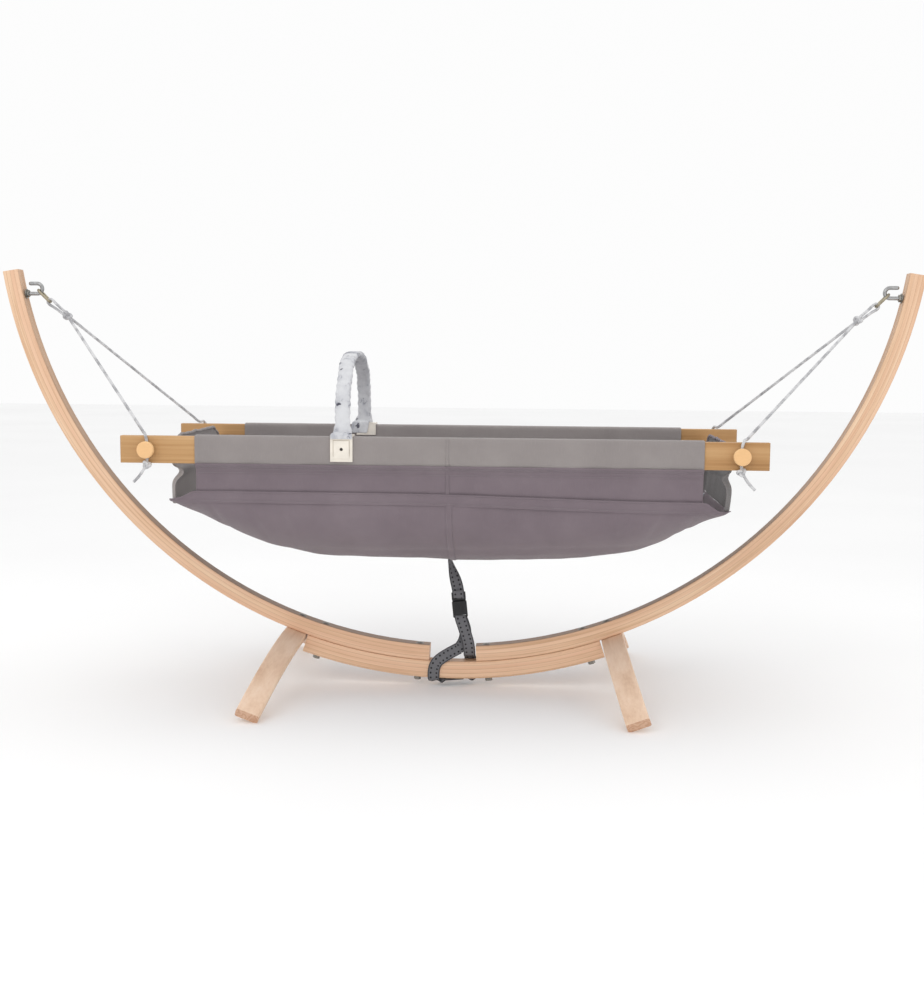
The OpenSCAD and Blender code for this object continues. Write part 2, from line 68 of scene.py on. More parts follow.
rail_low, rail_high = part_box("rail_front")
RAIL_TOP = rail_high.z
RAIL_LOW = rail_low.z
RAIL_Z = (RAIL_TOP + RAIL_LOW) / 2
RAIL_OUT = -rail_low.y
RAIL_SHIFT = (rail_low.x + rail_high.x) / 2
RAIL_END = (rail_high.x - rail_low.x) / 2

sleeve_low, sleeve_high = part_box("side_panel_front")
PANEL_END = sleeve_high.x
SEAM_Z = sleeve_low.z

belly_low, belly_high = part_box("belly_panel")
BELLY_END = belly_high.x
BELLY_Y = belly_high.y
BELLY_Z = belly_low.z
BELLY_END_Z = 0.402
BELLY_POWER = 2.3
PANEL_TOP = 0.4852
HEM_ROWS = (0.4740, 0.4670)
SLEEVE_FACE = 0.2336
BELLY_RISE = 3.9

ROPE_R = 0.003
WEB_W = 0.025
WEB_T = 0.0018


# ---- camera ----

def make_camera():
    """A standing eye a little right of the middle, looking slightly down and to the left."""
    data = bpy.data.cameras.new("camera")
    data.lens = 48.46
    data.sensor_width = 36.0
    data.clip_start = 0.05
    data.clip_end = 60.0
    camera = bpy.data.objects.new("camera", data)
    bpy.context.scene.collection.objects.link(camera)
    yaw, pitch, roll = 0.059, 0.110, -0.0080
    turn = (Matrix.Rotation(yaw, 3, "Z") @ Matrix.Rotation(-pitch, 3, "X")
            @ Matrix.Rotation(roll, 3, "Y"))
    right, ahead, up = turn.col
    facing = Matrix((right, up, -ahead)).transposed().to_4x4()
    camera.matrix_world = Matrix.Translation((0.1815, -2.8, 0.7047)) @ facing
    bpy.context.scene.camera = camera


# ---- shader building ----

class Value:
    """A socket that can be added, multiplied and compared like a number."""

    def __init__(self, paint, socket):
        self.paint = paint
        self.socket = socket

    def math(self, operation, *others):
        node = self.paint.node("ShaderNodeMath", {"operation": operation},
                               dict(enumerate((self, *others))))
        return Value(self.paint, node.outputs[0])

    def __add__(self, other):
        return self.math("ADD", other)

    def __sub__(self, other):
        return self.math("SUBTRACT", other)

    def __mul__(self, other):
        return self.math("MULTIPLY", other)

    def __truediv__(self, other):
        return self.math("DIVIDE", other)

    def __rsub__(self, other):
        return self.math("MULTIPLY", -1.0).math("ADD", other)

    __radd__ = __add__
    __rmul__ = __mul__

    def above(self, edge, soft):
        """0 below the edge and 1 above it, with a soft step."""
        node = self.paint.node(
            "ShaderNodeMapRange", {"interpolation_type": "SMOOTHSTEP"},
            {"Value": self, "From Min": edge - soft, "From Max": edge + soft})
        return Value(self.paint, node.outputs[0])


class Paint:
    """A material with one Principled shader, built from a few kinds of node."""

    def __init__(self, name, **constants):
        self.material = bpy.data.materials.new(name)
        self.material.use_nodes = True
        self.tree = self.material.node_tree
        self.tree.nodes.clear()
        output = self.tree.nodes.new("ShaderNodeOutputMaterial")
        self.shader = self.tree.nodes.new("ShaderNodeBsdfPrincipled")
        self.tree.links.new(self.shader.outputs[0], output.inputs[0])
        self.coordinates = self.tree.nodes.new("ShaderNodeTexCoord")
        for name_, value in constants.items():
            self.shader.inputs[name_.replace("_", " ")].default_value = value

    def node(self, kind, settings, inputs):
        made = self.tree.nodes.new(kind)
        for key, value in settings.items():
            if key == "stops":
                ramp = made.color_ramp.elements
                while len(ramp) < len(value):
                    ramp.new(0.5)
                for stop, (place, colour) in zip(ramp, value):
                    stop.position = place
                    stop.color = (*colour, 1.0)
            else:
                setattr(made, key, value)
        for key, value in inputs.items():
            if isinstance(value, Value):
                self.tree.links.new(value.socket, made.inputs[key])
            else:
                made.inputs[key].default_value = value
        return made

    def place(self):
        """Object coordinates, as three values."""
        split = self.node("ShaderNodeSeparateXYZ", {}, {
            0: Value(self, self.coordinates.outputs["Object"])})
        return [Value(self, s) for s in split.outputs]

    def sheet_place(self):
        """The piece's own UV map, in metres along and across the cloth."""
        split = self.node("ShaderNodeSeparateXYZ", {}, {
            0: Value(self, self.coordinates.outputs["UV"])})
        return [Value(self, s) for s in split.outputs][:2]

    def point(self, x, y, z):
        return Value(self, self.node("ShaderNodeCombineXYZ", {}, {0: x, 1: y, 2: z}).outputs[0])

    def noise(self, at, scale, detail=3.0, rough=0.5):
        node = self.node("ShaderNodeTexNoise", {}, {
            "Vector": at, "Scale": scale, "Detail": detail, "Roughness": rough})
        return Value(self, node.outputs[0])

    def blend(self, amount, first, second):
        """Mixes two colours. Each is a colour or the result of another blend."""
        def filled(colour):
            return colour if isinstance(colour, Value) else (*colour, 1.0)
        node = self.node("ShaderNodeMix", {"data_type": "RGBA"},
                         {0: amount, 6: filled(first), 7: filled(second)})
        return Value(self, node.outputs[2])

    def ramp(self, amount, stops):
        return Value(self, self.node("ShaderNodeValToRGB", {"stops": stops}, {0: amount}).outputs[0])

    def colour(self, value):
        self.tree.links.new(value.socket, self.shader.inputs["Base Color"])

    def rough(self, value):
        self.tree.links.new(value.socket, self.shader.inputs["Roughness"])

    def bump(self, height, distance, strength=1.0):
        node = self.node("ShaderNodeBump", {}, {
            "Height": height, "Distance": distance, "Strength": strength})
        self.tree.links.new(node.outputs[0], self.shader.inputs["Normal"])


# ---- materials ----

def laminated_wood():
    """Bent beams glued from thin layers: the grain runs round the arc, each layer has its own tone, and
    painted shade darkens the inner face low down.
    """
    paint = Paint("laminated_beech", Specular_IOR_Level=0.35)
    x, y, z = paint.place()
    height = ARC_Z - z
    radius = (x * x + height * height).math("SQRT")
    along = x.math("ARCTAN2", height) * ARC_R
    layer = (radius - (ARC_R - BEAM_T)) / LAYER_T
    number = layer.math("FLOOR")
    part = layer.math("FRACT")
    fibre = paint.noise(paint.point(radius * 420 + number * 7, y * 420, along * 9), 1.0, 5.0, 0.6)
    streak = paint.noise(paint.point(radius * 110 + number * 31, y * 60, along * 3.2), 1.0, 3.0, 0.5)
    tone = paint.noise(paint.point(number * 3.7, 0.0, along * 1.3), 1.0, 1.0, 0.4)
    wood = paint.ramp(streak * 0.7 + fibre * 0.3, [
        (0.30, (0.56, 0.33, 0.185)), (0.45, (0.73, 0.475, 0.30)),
        (0.56, (0.81, 0.56, 0.375)), (0.72, (0.87, 0.65, 0.455))])
    wood = paint.blend(tone.above(0.5, 0.22) * 0.55, wood, (0.80, 0.49, 0.33))
    glue = 1 - ((part - 0.5).math("ABSOLUTE") * 2).above(0.90, 0.05)
    wood = paint.blend(glue, paint.blend(0.38, wood, (0.30, 0.155, 0.075)), wood)
    # Painted shade: the beam's inner face is darkened towards its lower ends, standing for the shade that
    # falls there, not the wood's own colour.
    inner = 1 - radius.above(ARC_R - BEAM_T + 0.0006, 0.0003)
    wood = paint.blend(inner * (1 - z.above(0.55, 0.30)) * 0.62, wood, (0.17, 0.115, 0.085))
    paint.colour(wood)
    paint.rough(fibre * 0.2 + 0.38)
    paint.bump(fibre * 0.5 + glue * 0.5, 0.0005, 0.5)
    return paint.material


def plank_wood(name, tones, length_axis, end_mask, end_tone, scale=1.0):
    """Straight boards: long fibres on one axis, pores, and a darker end grain."""
    paint = Paint(name, Specular_IOR_Level=0.35)
    place = paint.place()
    stretch = [4.0 if axis == length_axis else 230.0 for axis in range(3)]
    slow = [1.6 if axis == length_axis else 42.0 for axis in range(3)]
    fibre = paint.noise(paint.point(*[p * (s * scale) for p, s in zip(place, stretch)]), 1.0, 5.0, 0.6)
    wave = paint.noise(paint.point(*[p * (s * scale) for p, s in zip(place, slow)]), 1.0, 3.0, 0.5)
    wood = paint.ramp(wave * 0.65 + fibre * 0.35,
                      [(0.30 + 0.13 * i, tone) for i, tone in enumerate(tones)])
    rings = (paint.noise(paint.point(*[p * 30.0 for p in place]), 1.0, 2.0, 0.5) * 60).math("SINE")
    end = end_mask(*place)
    face = paint.blend(rings * 0.18 + 0.5, end_tone, tones[1])
    paint.colour(paint.blend(end, wood, face))
    paint.rough(fibre * 0.2 + 0.4)
    paint.bump(fibre, 0.0005, 0.4)
    return paint.material


def foot_end(x, y, z):
    """1 on the sawn ends of a bent foot, which lie on planes through the middle of its curve."""
    foot_r = (FOOT_HALF ** 2 + FOOT_RISE ** 2) / (2 * FOOT_RISE)
    sweep = math.asin(FOOT_HALF / foot_r)
    side = x.math("ABSOLUTE")
    inward = (ARC_Z - z) * math.cos(FOOT_ANGLE) + side * math.sin(FOOT_ANGLE)
    above = ARC_R + foot_r - inward
    return y.math("ABSOLUTE").math("ARCTAN2", above).above(sweep - 0.002, 0.0006)


def rail_end(x, y, z):
    """1 on the sawn ends of a rail."""
    return (x - RAIL_SHIFT).math("ABSOLUTE").above(RAIL_END - 0.0008, 0.0003)


def peg_face(x, y, z):
    """1 on the round face of a peg, where its end grain shows."""
    return y.math("ABSOLUTE").above(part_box("peg_rear_left")[1].y - 0.0012, 0.0005)


def canvas(name, base, shade, light):
    """Tightly woven canvas: crossed threads, a soft bloom and uneven dye."""
    paint = Paint(name, Roughness=0.85, Specular_IOR_Level=0.2, Sheen_Weight=0.25)
    u, v = paint.sheet_place()
    warp = (u * (2 * math.pi / 0.0011)).math("SINE")
    weft = (v * (2 * math.pi / 0.0011)).math("SINE")
    weave = warp * weft
    x, y, z = paint.place()
    dye = paint.noise(paint.point(x, y, z), 9.0, 4.0, 0.6)
    slub = paint.noise(paint.point(u * 60, v * 700, 0.0), 1.0, 2.0, 0.5)
    colour = paint.ramp(dye, [(0.22, shade), (0.5, base), (0.80, light)])
    colour = paint.blend(slub.above(0.62, 0.12) * 0.35, colour, light)
    colour = paint.blend((weave * 0.5 + 0.5) * 0.18, colour, shade)
    paint.colour(colour)
    paint.bump(weave * 0.6 + slub, 0.0003, 0.6)
    return paint.material


def printed_cotton():
    """Pale cotton with a plain marbled print: soft grey veins and small darker flecks."""
    paint = Paint("marbled_cotton", Roughness=0.8, Specular_IOR_Level=0.25, Sheen_Weight=0.2)
    x, y, z = paint.place()
    at = paint.point(x, y, z)
    wash = paint.noise(at, 21.0, 3.0, 0.55)
    streak = paint.noise(paint.point(x * 90, y * 60, z * 34), 1.0, 4.0, 0.65)
    colour = paint.ramp(wash * 0.75 + streak * 0.25, [
        (0.34, (0.28, 0.285, 0.33)), (0.43, (0.44, 0.45, 0.49)),
        (0.50, (0.61, 0.615, 0.64)), (0.60, (0.69, 0.695, 0.715))])
    vein = (paint.noise(at, 30.0, 3.0, 0.6) - 0.5).math("ABSOLUTE")
    veined = (1 - vein.above(0.012, 0.012)) * (1 - wash.above(0.50, 0.05))
    colour = paint.blend(veined, colour, (0.20, 0.205, 0.25))
    mark = paint.noise(at, 62.0, 2.0, 0.5).above(0.665, 0.02) * (1 - wash.above(0.56, 0.05))
    colour = paint.blend(mark, colour, (0.085, 0.085, 0.11))
    paint.colour(colour)
    u, v = paint.sheet_place()
    weave = (u * (2 * math.pi / 0.0008)).math("SINE") * (v * (2 * math.pi / 0.0008)).math("SINE")
    paint.bump(weave, 0.0002, 0.4)
    return paint.material


def dotted_webbing():
    """Grey ribbed webbing with two rows of dark dots. Its UV map is metres across and along."""
    paint = Paint("dotted_webbing", Roughness=0.7, Specular_IOR_Level=0.3, Sheen_Weight=0.15)
    u, v = paint.sheet_place()
    rib = (v * (2 * math.pi / 0.0016)).math("SINE")
    from_middle = (u - WEB_W / 2).math("ABSOLUTE")
    row = from_middle - 0.0062
    step = (v / 0.0095).math("FRACT") * 0.0095 - 0.00475
    dot = 1 - (row * row + step * step).math("SQRT").above(0.0021, 0.0004)
    edge = from_middle.above(0.0103, 0.0007)
    fuzz = paint.noise(paint.point(u, v, 0.0), 900.0, 2.0, 0.5)
    colour = paint.ramp(fuzz, [(0.3, (0.12, 0.12, 0.13)), (0.7, (0.21, 0.21, 0.225))])
    colour = paint.blend(edge * 0.75, colour, (0.03, 0.03, 0.034))
    colour = paint.blend(dot, colour, (0.012, 0.012, 0.014))
    paint.colour(colour)
    paint.bump(rib * 0.6 + fuzz * 0.6, 0.0004, 0.7)
    return paint.material


def braided_cord(name, pale, grey):
    """White braided cord. The plaits are modelled, and the fibres are a fine pattern on them."""
    paint = Paint(name, Roughness=0.75, Specular_IOR_Level=0.3, Sheen_Weight=0.2)
    u, v = paint.sheet_place()
    fibre = paint.noise(paint.point(u * 40, v * 900, 0.0), 1.0, 2.0, 0.6)
    x, y, z = paint.place()
    soil = paint.noise(paint.point(x, y, z), 60.0, 2.0, 0.5)
    colour = paint.ramp(soil, [(0.35, grey), (0.6, pale)])
    paint.colour(paint.blend(fibre.above(0.6, 0.15) * 0.3, colour, grey))
    paint.bump(fibre, 0.0002, 0.5)
    return paint.material


def plated_steel(name, tone, rough):
    """Zinc-plated steel with faint drawing lines and dull patches."""
    paint = Paint(name, Metallic=1.0)
    at = paint.point(*paint.place())
    patch = paint.noise(at, 90.0, 4.0, 0.6)
    fine = paint.noise(at, 900.0, 2.0, 0.5)
    dull = tuple(c * 0.72 for c in tone)
    paint.colour(paint.ramp(patch, [(0.35, dull), (0.6, tone)]))
    paint.rough(patch * 0.18 + fine * 0.08 + rough)
    paint.bump(fine, 0.0001, 0.25)
    return paint.material


def moulded_plastic(name, tone, rough, grain=1400.0):
    """Injection-moulded plastic with a fine spark texture."""
    paint = Paint(name, Specular_IOR_Level=0.45)
    at = paint.point(*paint.place())
    spark = paint.noise(at, grain, 2.0, 0.5)
    haze = paint.noise(at, 30.0, 2.0, 0.5)
    shade = tuple(c * 0.9 for c in tone)
    paint.colour(paint.ramp(haze, [(0.4, shade), (0.6, tone)]))
    paint.rough(haze * 0.12 + rough)
    paint.bump(spark, 0.0001, 0.35)
    return paint.material


WOOD_BEAM = laminated_wood()
WOOD_FOOT = plank_wood("foot_beech", [
    (0.68, 0.45, 0.31), (0.77, 0.545, 0.39), (0.84, 0.62, 0.46), (0.88, 0.68, 0.53)],
    1, foot_end, (0.46, 0.22, 0.12))
WOOD_RAIL = plank_wood("rail_oiled", [
    (0.32, 0.16, 0.055), (0.45, 0.245, 0.098), (0.53, 0.31, 0.138), (0.61, 0.38, 0.19)],
    0, rail_end, (0.30, 0.15, 0.06))
WOOD_PEG = plank_wood("peg_maple", [
    (0.62, 0.37, 0.17), (0.80, 0.50, 0.24), (0.90, 0.60, 0.31), (0.95, 0.68, 0.38)],
    1, peg_face, (0.86, 0.52, 0.25), 1.5)
CANVAS_BAND = canvas("canvas_band", (0.303, 0.273, 0.266), (0.27, 0.243, 0.237), (0.345, 0.315, 0.305))
CANVAS_BELLY = canvas("canvas_belly", (0.204, 0.164, 0.185), (0.178, 0.142, 0.161), (0.238, 0.196, 0.216))
# Painted shade: a darker grey canvas that stands for the inside of the right end panel lying in shade.
CANVAS_PAINTED_SHADE = canvas("canvas_painted_shade", (0.165, 0.155, 0.155), (0.14, 0.13, 0.13), (0.19, 0.18, 0.178))
PRINT = printed_cotton()
WEBBING = dotted_webbing()
CORD = braided_cord("braided_cord", (0.66, 0.66, 0.67), (0.36, 0.36, 0.375))
THREAD = braided_cord("sewing_thread", (0.30, 0.275, 0.28), (0.22, 0.20, 0.205))
ZINC = plated_steel("zinc_plate", (0.34, 0.33, 0.30), 0.30)
BRIGHT = plated_steel("bright_steel", (0.42, 0.42, 0.42), 0.16)
YELLOW = plated_steel("yellowed_steel", (0.40, 0.355, 0.26), 0.22)
CLAMP = moulded_plastic("clamp_cream", (0.86, 0.80, 0.71), 0.42)
BUCKLE = moulded_plastic("buckle_black", (0.008, 0.008, 0.010), 0.36)
CORE = moulded_plastic("core_grey", (0.45, 0.45, 0.46), 0.5)
DARK = moulded_plastic("screw_dark", (0.05, 0.042, 0.035), 0.4)


# ---- mesh helpers ----

def new_object(name, points, faces, uvs=None):
    """A mesh object at the origin. uvs gives one pair for each corner of each face."""
    mesh = bpy.data.meshes.new(name)
    mesh.from_pydata([tuple(p) for p in points], [], faces)
    if uvs is not None:
        layer = mesh.uv_layers.new(name="UVMap")
        layer.data.foreach_set("uv", np.array(uvs, np.float32).ravel())
    made = bpy.data.objects.new(name, mesh)
    bpy.context.scene.collection.objects.link(made)
    return made


def surface(name, rows, wrap=False):
    """A sheet of quads through rows of points, with its UV map in metres. wrap closes each row."""
    rows = np.array(rows, float)
    m, n = rows.shape[:2]
    across = np.linalg.norm(np.diff(rows, axis=1), axis=2).mean(axis=0)
    along = np.linalg.norm(np.diff(rows, axis=0), axis=2).mean(axis=1)
    u = np.concatenate([[0], np.cumsum(across)])
    if wrap:
        u = np.append(u, u[-1] + np.linalg.norm(rows[:, 0] - rows[:, -1], axis=1).mean())
    v = np.concatenate([[0], np.cumsum(along)])
    faces, uvs = [], []
    for i in range(m - 1):
        for j in range(n if wrap else n - 1):
            k = (j + 1) % n
            faces.append((i * n + j, i * n + k, (i + 1) * n + k, (i + 1) * n + j))
            uvs += [(u[j], v[i]), (u[j + 1], v[i]), (u[j + 1], v[i + 1]), (u[j], v[i + 1])]
    return new_object(name, rows.reshape(-1, 3), faces, uvs)


def alone(piece):
    """Makes the piece the only one selected, and active."""
    bpy.ops.object.select_all(action="DESELECT")
    piece.select_set(True)
    bpy.context.view_layer.objects.active = piece


def shade_by_angle(piece, angle):
    """Shades the piece smooth, but keeps edges sharper than the angle (in degrees) crisp."""
    piece.data.shade_smooth()
    alone(piece)
    bpy.ops.object.shade_smooth_by_angle(angle=math.radians(angle))
    return piece


def round_once(piece):
    """One step of subdivision, which softens every corner."""
    smooth = piece.modifiers.new("smooth", "SUBSURF")
    smooth.levels = smooth.render_levels = 1
    smooth.uv_smooth = "PRESERVE_BOUNDARIES"


def bevelled(piece, width, angle):
    """Adds a three-step bevel on every edge sharper than the angle, in degrees."""
    bevel = piece.modifiers.new("round", "BEVEL")
    bevel.width = width
    bevel.segments = 3
    bevel.limit_method = "ANGLE"
    bevel.angle_limit = math.radians(angle)
    return bevel


def apply_all(piece):
    alone(piece)
    for name in [m.name for m in piece.modifiers]:
        bpy.ops.object.modifier_apply(modifier=name)
    return piece


def thicken(piece, thickness):
    """Gives a sheet its thickness, half to each side, rounds it once and shades it smooth."""
    solid = piece.modifiers.new("thickness", "SOLIDIFY")
    solid.thickness = thickness
    solid.offset = 0.0
    solid.use_even_offset = True
    round_once(piece)
    apply_all(piece)
    piece.data.shade_smooth()
    return piece


def dress(piece, body, material, slot, *replaced):
    """Sets what every new piece needs: its material, the body it rides on and what it stands for."""
    piece.data.materials.clear()
    piece.data.materials.append(material)
    if body:
        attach(piece, body)
    if replaced:
        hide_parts(*replaced)
    return piece


def spline(points, step):
    """A smooth line through the points, sampled about every step, without overshoot where they are uneven."""
    p = np.array(points, float)
    gaps = np.linalg.norm(np.diff(p, axis=0), axis=1)[:, None]
    slope = np.diff(p, axis=0) / gaps
    heading = np.empty_like(p)
    heading[0] = slope[0]
    heading[-1] = slope[-1]
    heading[1:-1] = (slope[:-1] * gaps[1:] + slope[1:] * gaps[:-1]) / (gaps[:-1] + gaps[1:])
    line = []
    for i, gap in enumerate(gaps[:, 0]):
        count = max(2, int(round(gap / step)))
        for t in np.arange(count) / count:
            line.append((2 * t ** 3 - 3 * t * t + 1) * p[i] + (t ** 3 - 2 * t * t + t) * gap * heading[i]
                        + (3 * t * t - 2 * t ** 3) * p[i + 1] + (t ** 3 - t * t) * gap * heading[i + 1])
    line.append(p[-1])
    return np.array(line)


def frames(line, closed=False):
    """For each point of a line, two directions square to it that don't twist along the way."""
    n = len(line)
    if closed:
        ahead = np.roll(line, -1, axis=0) - np.roll(line, 1, axis=0)
    else:
        ahead = np.gradient(line, axis=0)
    ahead /= np.linalg.norm(ahead, axis=1)[:, None]
    side = np.cross(ahead[0], (0.3, 0.9, 0.2))
    side /= np.linalg.norm(side)
    out = []
    for i in range(n):
        side = side - ahead[i] * (side @ ahead[i])
        side /= np.linalg.norm(side)
        out.append((side.copy(), np.cross(ahead[i], side)))
    return out


def travelled(line):
    """How far along the line each of its points is."""
    return np.concatenate([[0], np.cumsum(np.linalg.norm(np.diff(line, axis=0), axis=1))])


def rope(name, line, radius=ROPE_R, sides=16, strands=4, pitch=0.012, relief=0.00035, closed=False):
    """A braided cord along a line: plaits cross over each other and stand out of its skin."""
    line = np.array(line, float)
    travel = travelled(line)
    rows = []
    for i, (a, b) in enumerate(frames(line, closed)):
        ring = []
        for j in range(sides):
            turn = 2 * math.pi * j / sides
            one = math.sin(strands * turn + 2 * math.pi * travel[i] / pitch)
            two = math.sin(strands * turn - 2 * math.pi * travel[i] / pitch)
            r = radius - relief + relief * max(one, two)
            ring.append(line[i] + r * (math.cos(turn) * a + math.sin(turn) * b))
        rows.append(ring)
    if closed:
        rows.append(rows[0])
    made = surface(name, rows, wrap=True)
    cleaned(made)
    made.data.shade_smooth()
    return made


def cleaned(piece, ends=True):
    """Merges doubles, closes open rings and points every face outwards."""
    alone(piece)
    bpy.ops.object.mode_set(mode="EDIT")
    bpy.ops.mesh.select_all(action="SELECT")
    bpy.ops.mesh.remove_doubles(threshold=0.00001)
    if ends:
        bpy.ops.mesh.select_all(action="DESELECT")
        bpy.ops.mesh.select_non_manifold()
        bpy.ops.mesh.edge_face_add()
    bpy.ops.mesh.select_all(action="SELECT")
    bpy.ops.mesh.normals_make_consistent(inside=False)
    bpy.ops.object.mode_set(mode="OBJECT")
    return piece


def rounded_box(name, low, high, radius, segments=3):
    """A box bevelled on every edge, from corner to corner."""
    low, high = Vector(low), Vector(high)
    bpy.ops.object.select_all(action="DESELECT")
    bpy.ops.mesh.primitive_cube_add(size=1.0)
    made = bpy.context.active_object
    made.name = name
    made.data.transform(Matrix.Translation((low + high) / 2) @ Matrix.Diagonal((*(high - low), 1.0)))
    bpy.ops.object.mode_set(mode="EDIT")
    bpy.ops.mesh.select_all(action="SELECT")
    bpy.ops.mesh.bevel(offset=radius, segments=segments, affect="EDGES")
    bpy.ops.object.mode_set(mode="OBJECT")
    return shade_by_angle(made, 40)


def joined(name, parts):
    """Joins pieces into one object."""
    bpy.ops.object.select_all(action="DESELECT")
    for part in parts:
        part.select_set(True)
    bpy.context.view_layer.objects.active = parts[0]
    bpy.ops.object.join()
    parts[0].name = name
    return parts[0]


def stitches(name, line, outward, radius=0.00045):
    """A row of sewn stitches along a line, each a small stretched bead lying on the cloth."""
    length, gap = 0.0032, 0.0012
    line = np.array(line, float)
    up = np.array(outward, float)
    travel = travelled(line)
    points, faces, uvs = [], [], []
    at = gap
    while at + length < travel[-1]:
        ends = [np.array([np.interp(s, travel, line[:, k]) for k in range(3)])
                for s in (at, at + length / 2, at + length)]
        ahead = (ends[2] - ends[0]) / np.linalg.norm(ends[2] - ends[0])
        side = np.cross(ahead, up)
        base = len(points)
        lift = up * radius * 0.7
        points += [ends[0] - lift, ends[2] - lift]
        points += [ends[1] + lift + radius * (c * up + s * side)
                   for c, s in ((1, 0), (0, 1), (-1, 0), (0, -1))]
        for k in range(4):
            a, b = base + 2 + k, base + 2 + (k + 1) % 4
            faces += [(base, b, a), (base + 1, a, b)]
            uvs += [(0, 0), (0.001, 0), (0.001, 0.001)] * 2
        at += length + gap
    return new_object(name, points, faces, uvs)


# ---- CAD pieces: finishes and softened edges ----

FINISHES = {
    "arc_beam_left arc_beam_right arc_joiner": WOOD_BEAM,
    "foot_left foot_right": WOOD_FOOT,
    "rail_front rail_rear": WOOD_RAIL,
    "peg_front_left peg_front_right peg_rear_left peg_rear_right": WOOD_PEG,
    "beam_bolts beam_washers beam_nuts foot_bolts foot_washers foot_nuts hook_washers hook_nuts": ZINC,
    "screw_hook_left screw_hook_right": BRIGHT,
    "snap_link_left snap_link_right link_gate_left link_gate_right": YELLOW,
    "toy_arch_core": CORE,
}
SOFTENED = {"rail_front": 0.0015, "rail_rear": 0.0015, "peg_front_left": 0.0022, "peg_front_right": 0.0022,
            "peg_rear_left": 0.0022, "peg_rear_right": 0.0022, "foot_left": 0.0025, "foot_right": 0.0025}


def finish_frame():
    """Gives the CAD pieces that are kept their materials, and softens the edges of the wood."""
    for names, material in FINISHES.items():
        for name in names.split():
            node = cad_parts[name]
            node.data.materials.clear()
            node.data.materials.append(material)
            if name in SOFTENED:
                bevelled(node, SOFTENED[name], 50)


# ---- ropes ----

def unit(v):
    v = np.array(v, float)
    return v / np.linalg.norm(v)


PEG_ROPE_Y = RAIL_OUT + 0.004
TURN_R = 0.0112
TIE_Z = RAIL_Z - 0.0295


def trefoil(name, centre, reach, stretch, tilt, radius):
    """An overhand knot pulled tight: a tube along a three-lobed path."""
    t = np.linspace(0, 2 * math.pi, 84)[:-1]
    size = (reach - radius) / 3
    path = np.stack([size * (np.sin(t) + 2 * np.sin(2 * t)) * stretch,
                     -size * 1.1 * np.sin(3 * t),
                     size * (np.cos(t) - 2 * np.cos(2 * t))], axis=1)
    c, s = math.cos(tilt), math.sin(tilt)
    turn = np.array([[c, 0, -s], [0, 1, 0], [s, 0, c]])
    return rope(name, path @ turn.T + np.array(centre), radius, sides=14, closed=True)


def make_eye(side, word):
    """The rope doubled back through the snap link, with its two strands side by side."""
    knot = np.array(middle("rope_knot_" + word))
    eye = np.array([side * 0.853135, 0.0, 0.801135])
    along = unit(knot - eye)
    across = np.array([along[2], 0.0, -along[0]])
    turns = [eye + 0.00565 * (math.sin(a) * across - math.cos(a) * along)
             for a in np.radians(np.arange(90, -91, -15))]
    reach = np.linalg.norm(knot - eye) - 0.004
    strands = [eye + reach * along + 0.0030 * across, eye + reach * along - 0.0030 * across]
    line = spline([strands[0], eye + 0.012 * along + 0.0045 * across, *turns,
                   eye + 0.012 * along - 0.0045 * across, strands[1]], 0.0012)
    made = rope("link_loop_" + word, line)
    dress(made, "cradle", CORD, "rope", "rope_eye_" + word)
    tilt = math.atan2(along[2], along[0])
    big = trefoil("main_knot_" + word, knot, 0.0105, 1.25, tilt, 0.0036)
    dress(big, "cradle", CORD, "rope", "rope_knot_" + word)


def make_leg(side, depth, word):
    """A taut rope from the knot, over the rail's top edge and down its outer face to the peg."""
    name = "rope_" + word
    knot = np.array(middle("rope_knot_" + word.split("_")[1]))
    peg = middle("peg_" + word).x
    over = np.array([peg + side * 0.012, depth * (RAIL_OUT - 0.018), RAIL_TOP + 0.005])
    ahead = unit(over - knot)
    begin = knot + ahead * 0.008
    end = [peg, depth * PEG_ROPE_Y, RAIL_Z + TURN_R + 0.001]
    line = spline([begin, over - ahead * 0.020, over,
                   [peg + side * 0.005, depth * (RAIL_OUT - 0.001), RAIL_TOP + 0.0038],
                   [peg + side * 0.0015, depth * (RAIL_OUT + 0.0036), RAIL_TOP - 0.004],
                   [peg, depth * PEG_ROPE_Y, RAIL_TOP - 0.012], end], 0.0014)
    made = rope("leg_" + name, line)
    dress(made, "cradle", CORD, "rope", name)


def make_tie(side, depth, word):
    """The turn round the peg's neck, the knot below it, and the loose tail."""
    peg = middle("peg_" + word).x
    centre = np.array([peg, depth * PEG_ROPE_Y, RAIL_Z])
    angles = np.linspace(0, 2 * math.pi, 60)[:-1]
    ring = [centre + TURN_R * np.array([math.cos(a), 0, math.sin(a)]) for a in angles]
    turn = rope("rope_turn_" + word, ring, sides=14, closed=True)
    knot = np.array([peg, depth * (PEG_ROPE_Y + 0.003), TIE_Z])
    hanging = spline([centre - [0, 0, TURN_R], centre - [0, 0, 0.020], knot], 0.0012)
    drop = rope("rope_drop_" + word, hanging, sides=14)
    ball = trefoil("rope_tie_" + word, knot, 0.0095, 1.15, 0.4 * side, 0.0031)
    ties = joined("rope_tie_" + word, [ball, turn, drop])
    dress(ties, "cradle", CORD, "rope", "rope_ties")
    route = [knot + [side * x, 0, z] for x, z in
             ((0, 0), (0.005, -0.007), (0.010, -0.015), (0.017, -0.024), (0.0262, -0.0335))]
    line = spline(route, 0.0012)
    tail = rope("rope_tail_" + word, line)
    dress(tail, "cradle", CORD, "rope", "rope_tails")


def make_ropes():
    for side, end in ((-1, "left"), (1, "right")):
        make_eye(side, end)
        for depth, face in ((-1, "front"), (1, "rear")):
            make_leg(side, depth, face + "_" + end)
            make_tie(side, depth, face + "_" + end)


# ---- the fabric cradle ----

def ease(t):
    """A smooth step from 0 to 1."""
    t = min(1.0, max(0.0, t))
    return t * t * (3 - 2 * t)


def seam_z(x):
    """Height of the seam under the side panels, which hangs lower towards the right."""
    return SEAM_Z + 0.003 - 0.0095 * ease((x + 0.10) / 0.55)


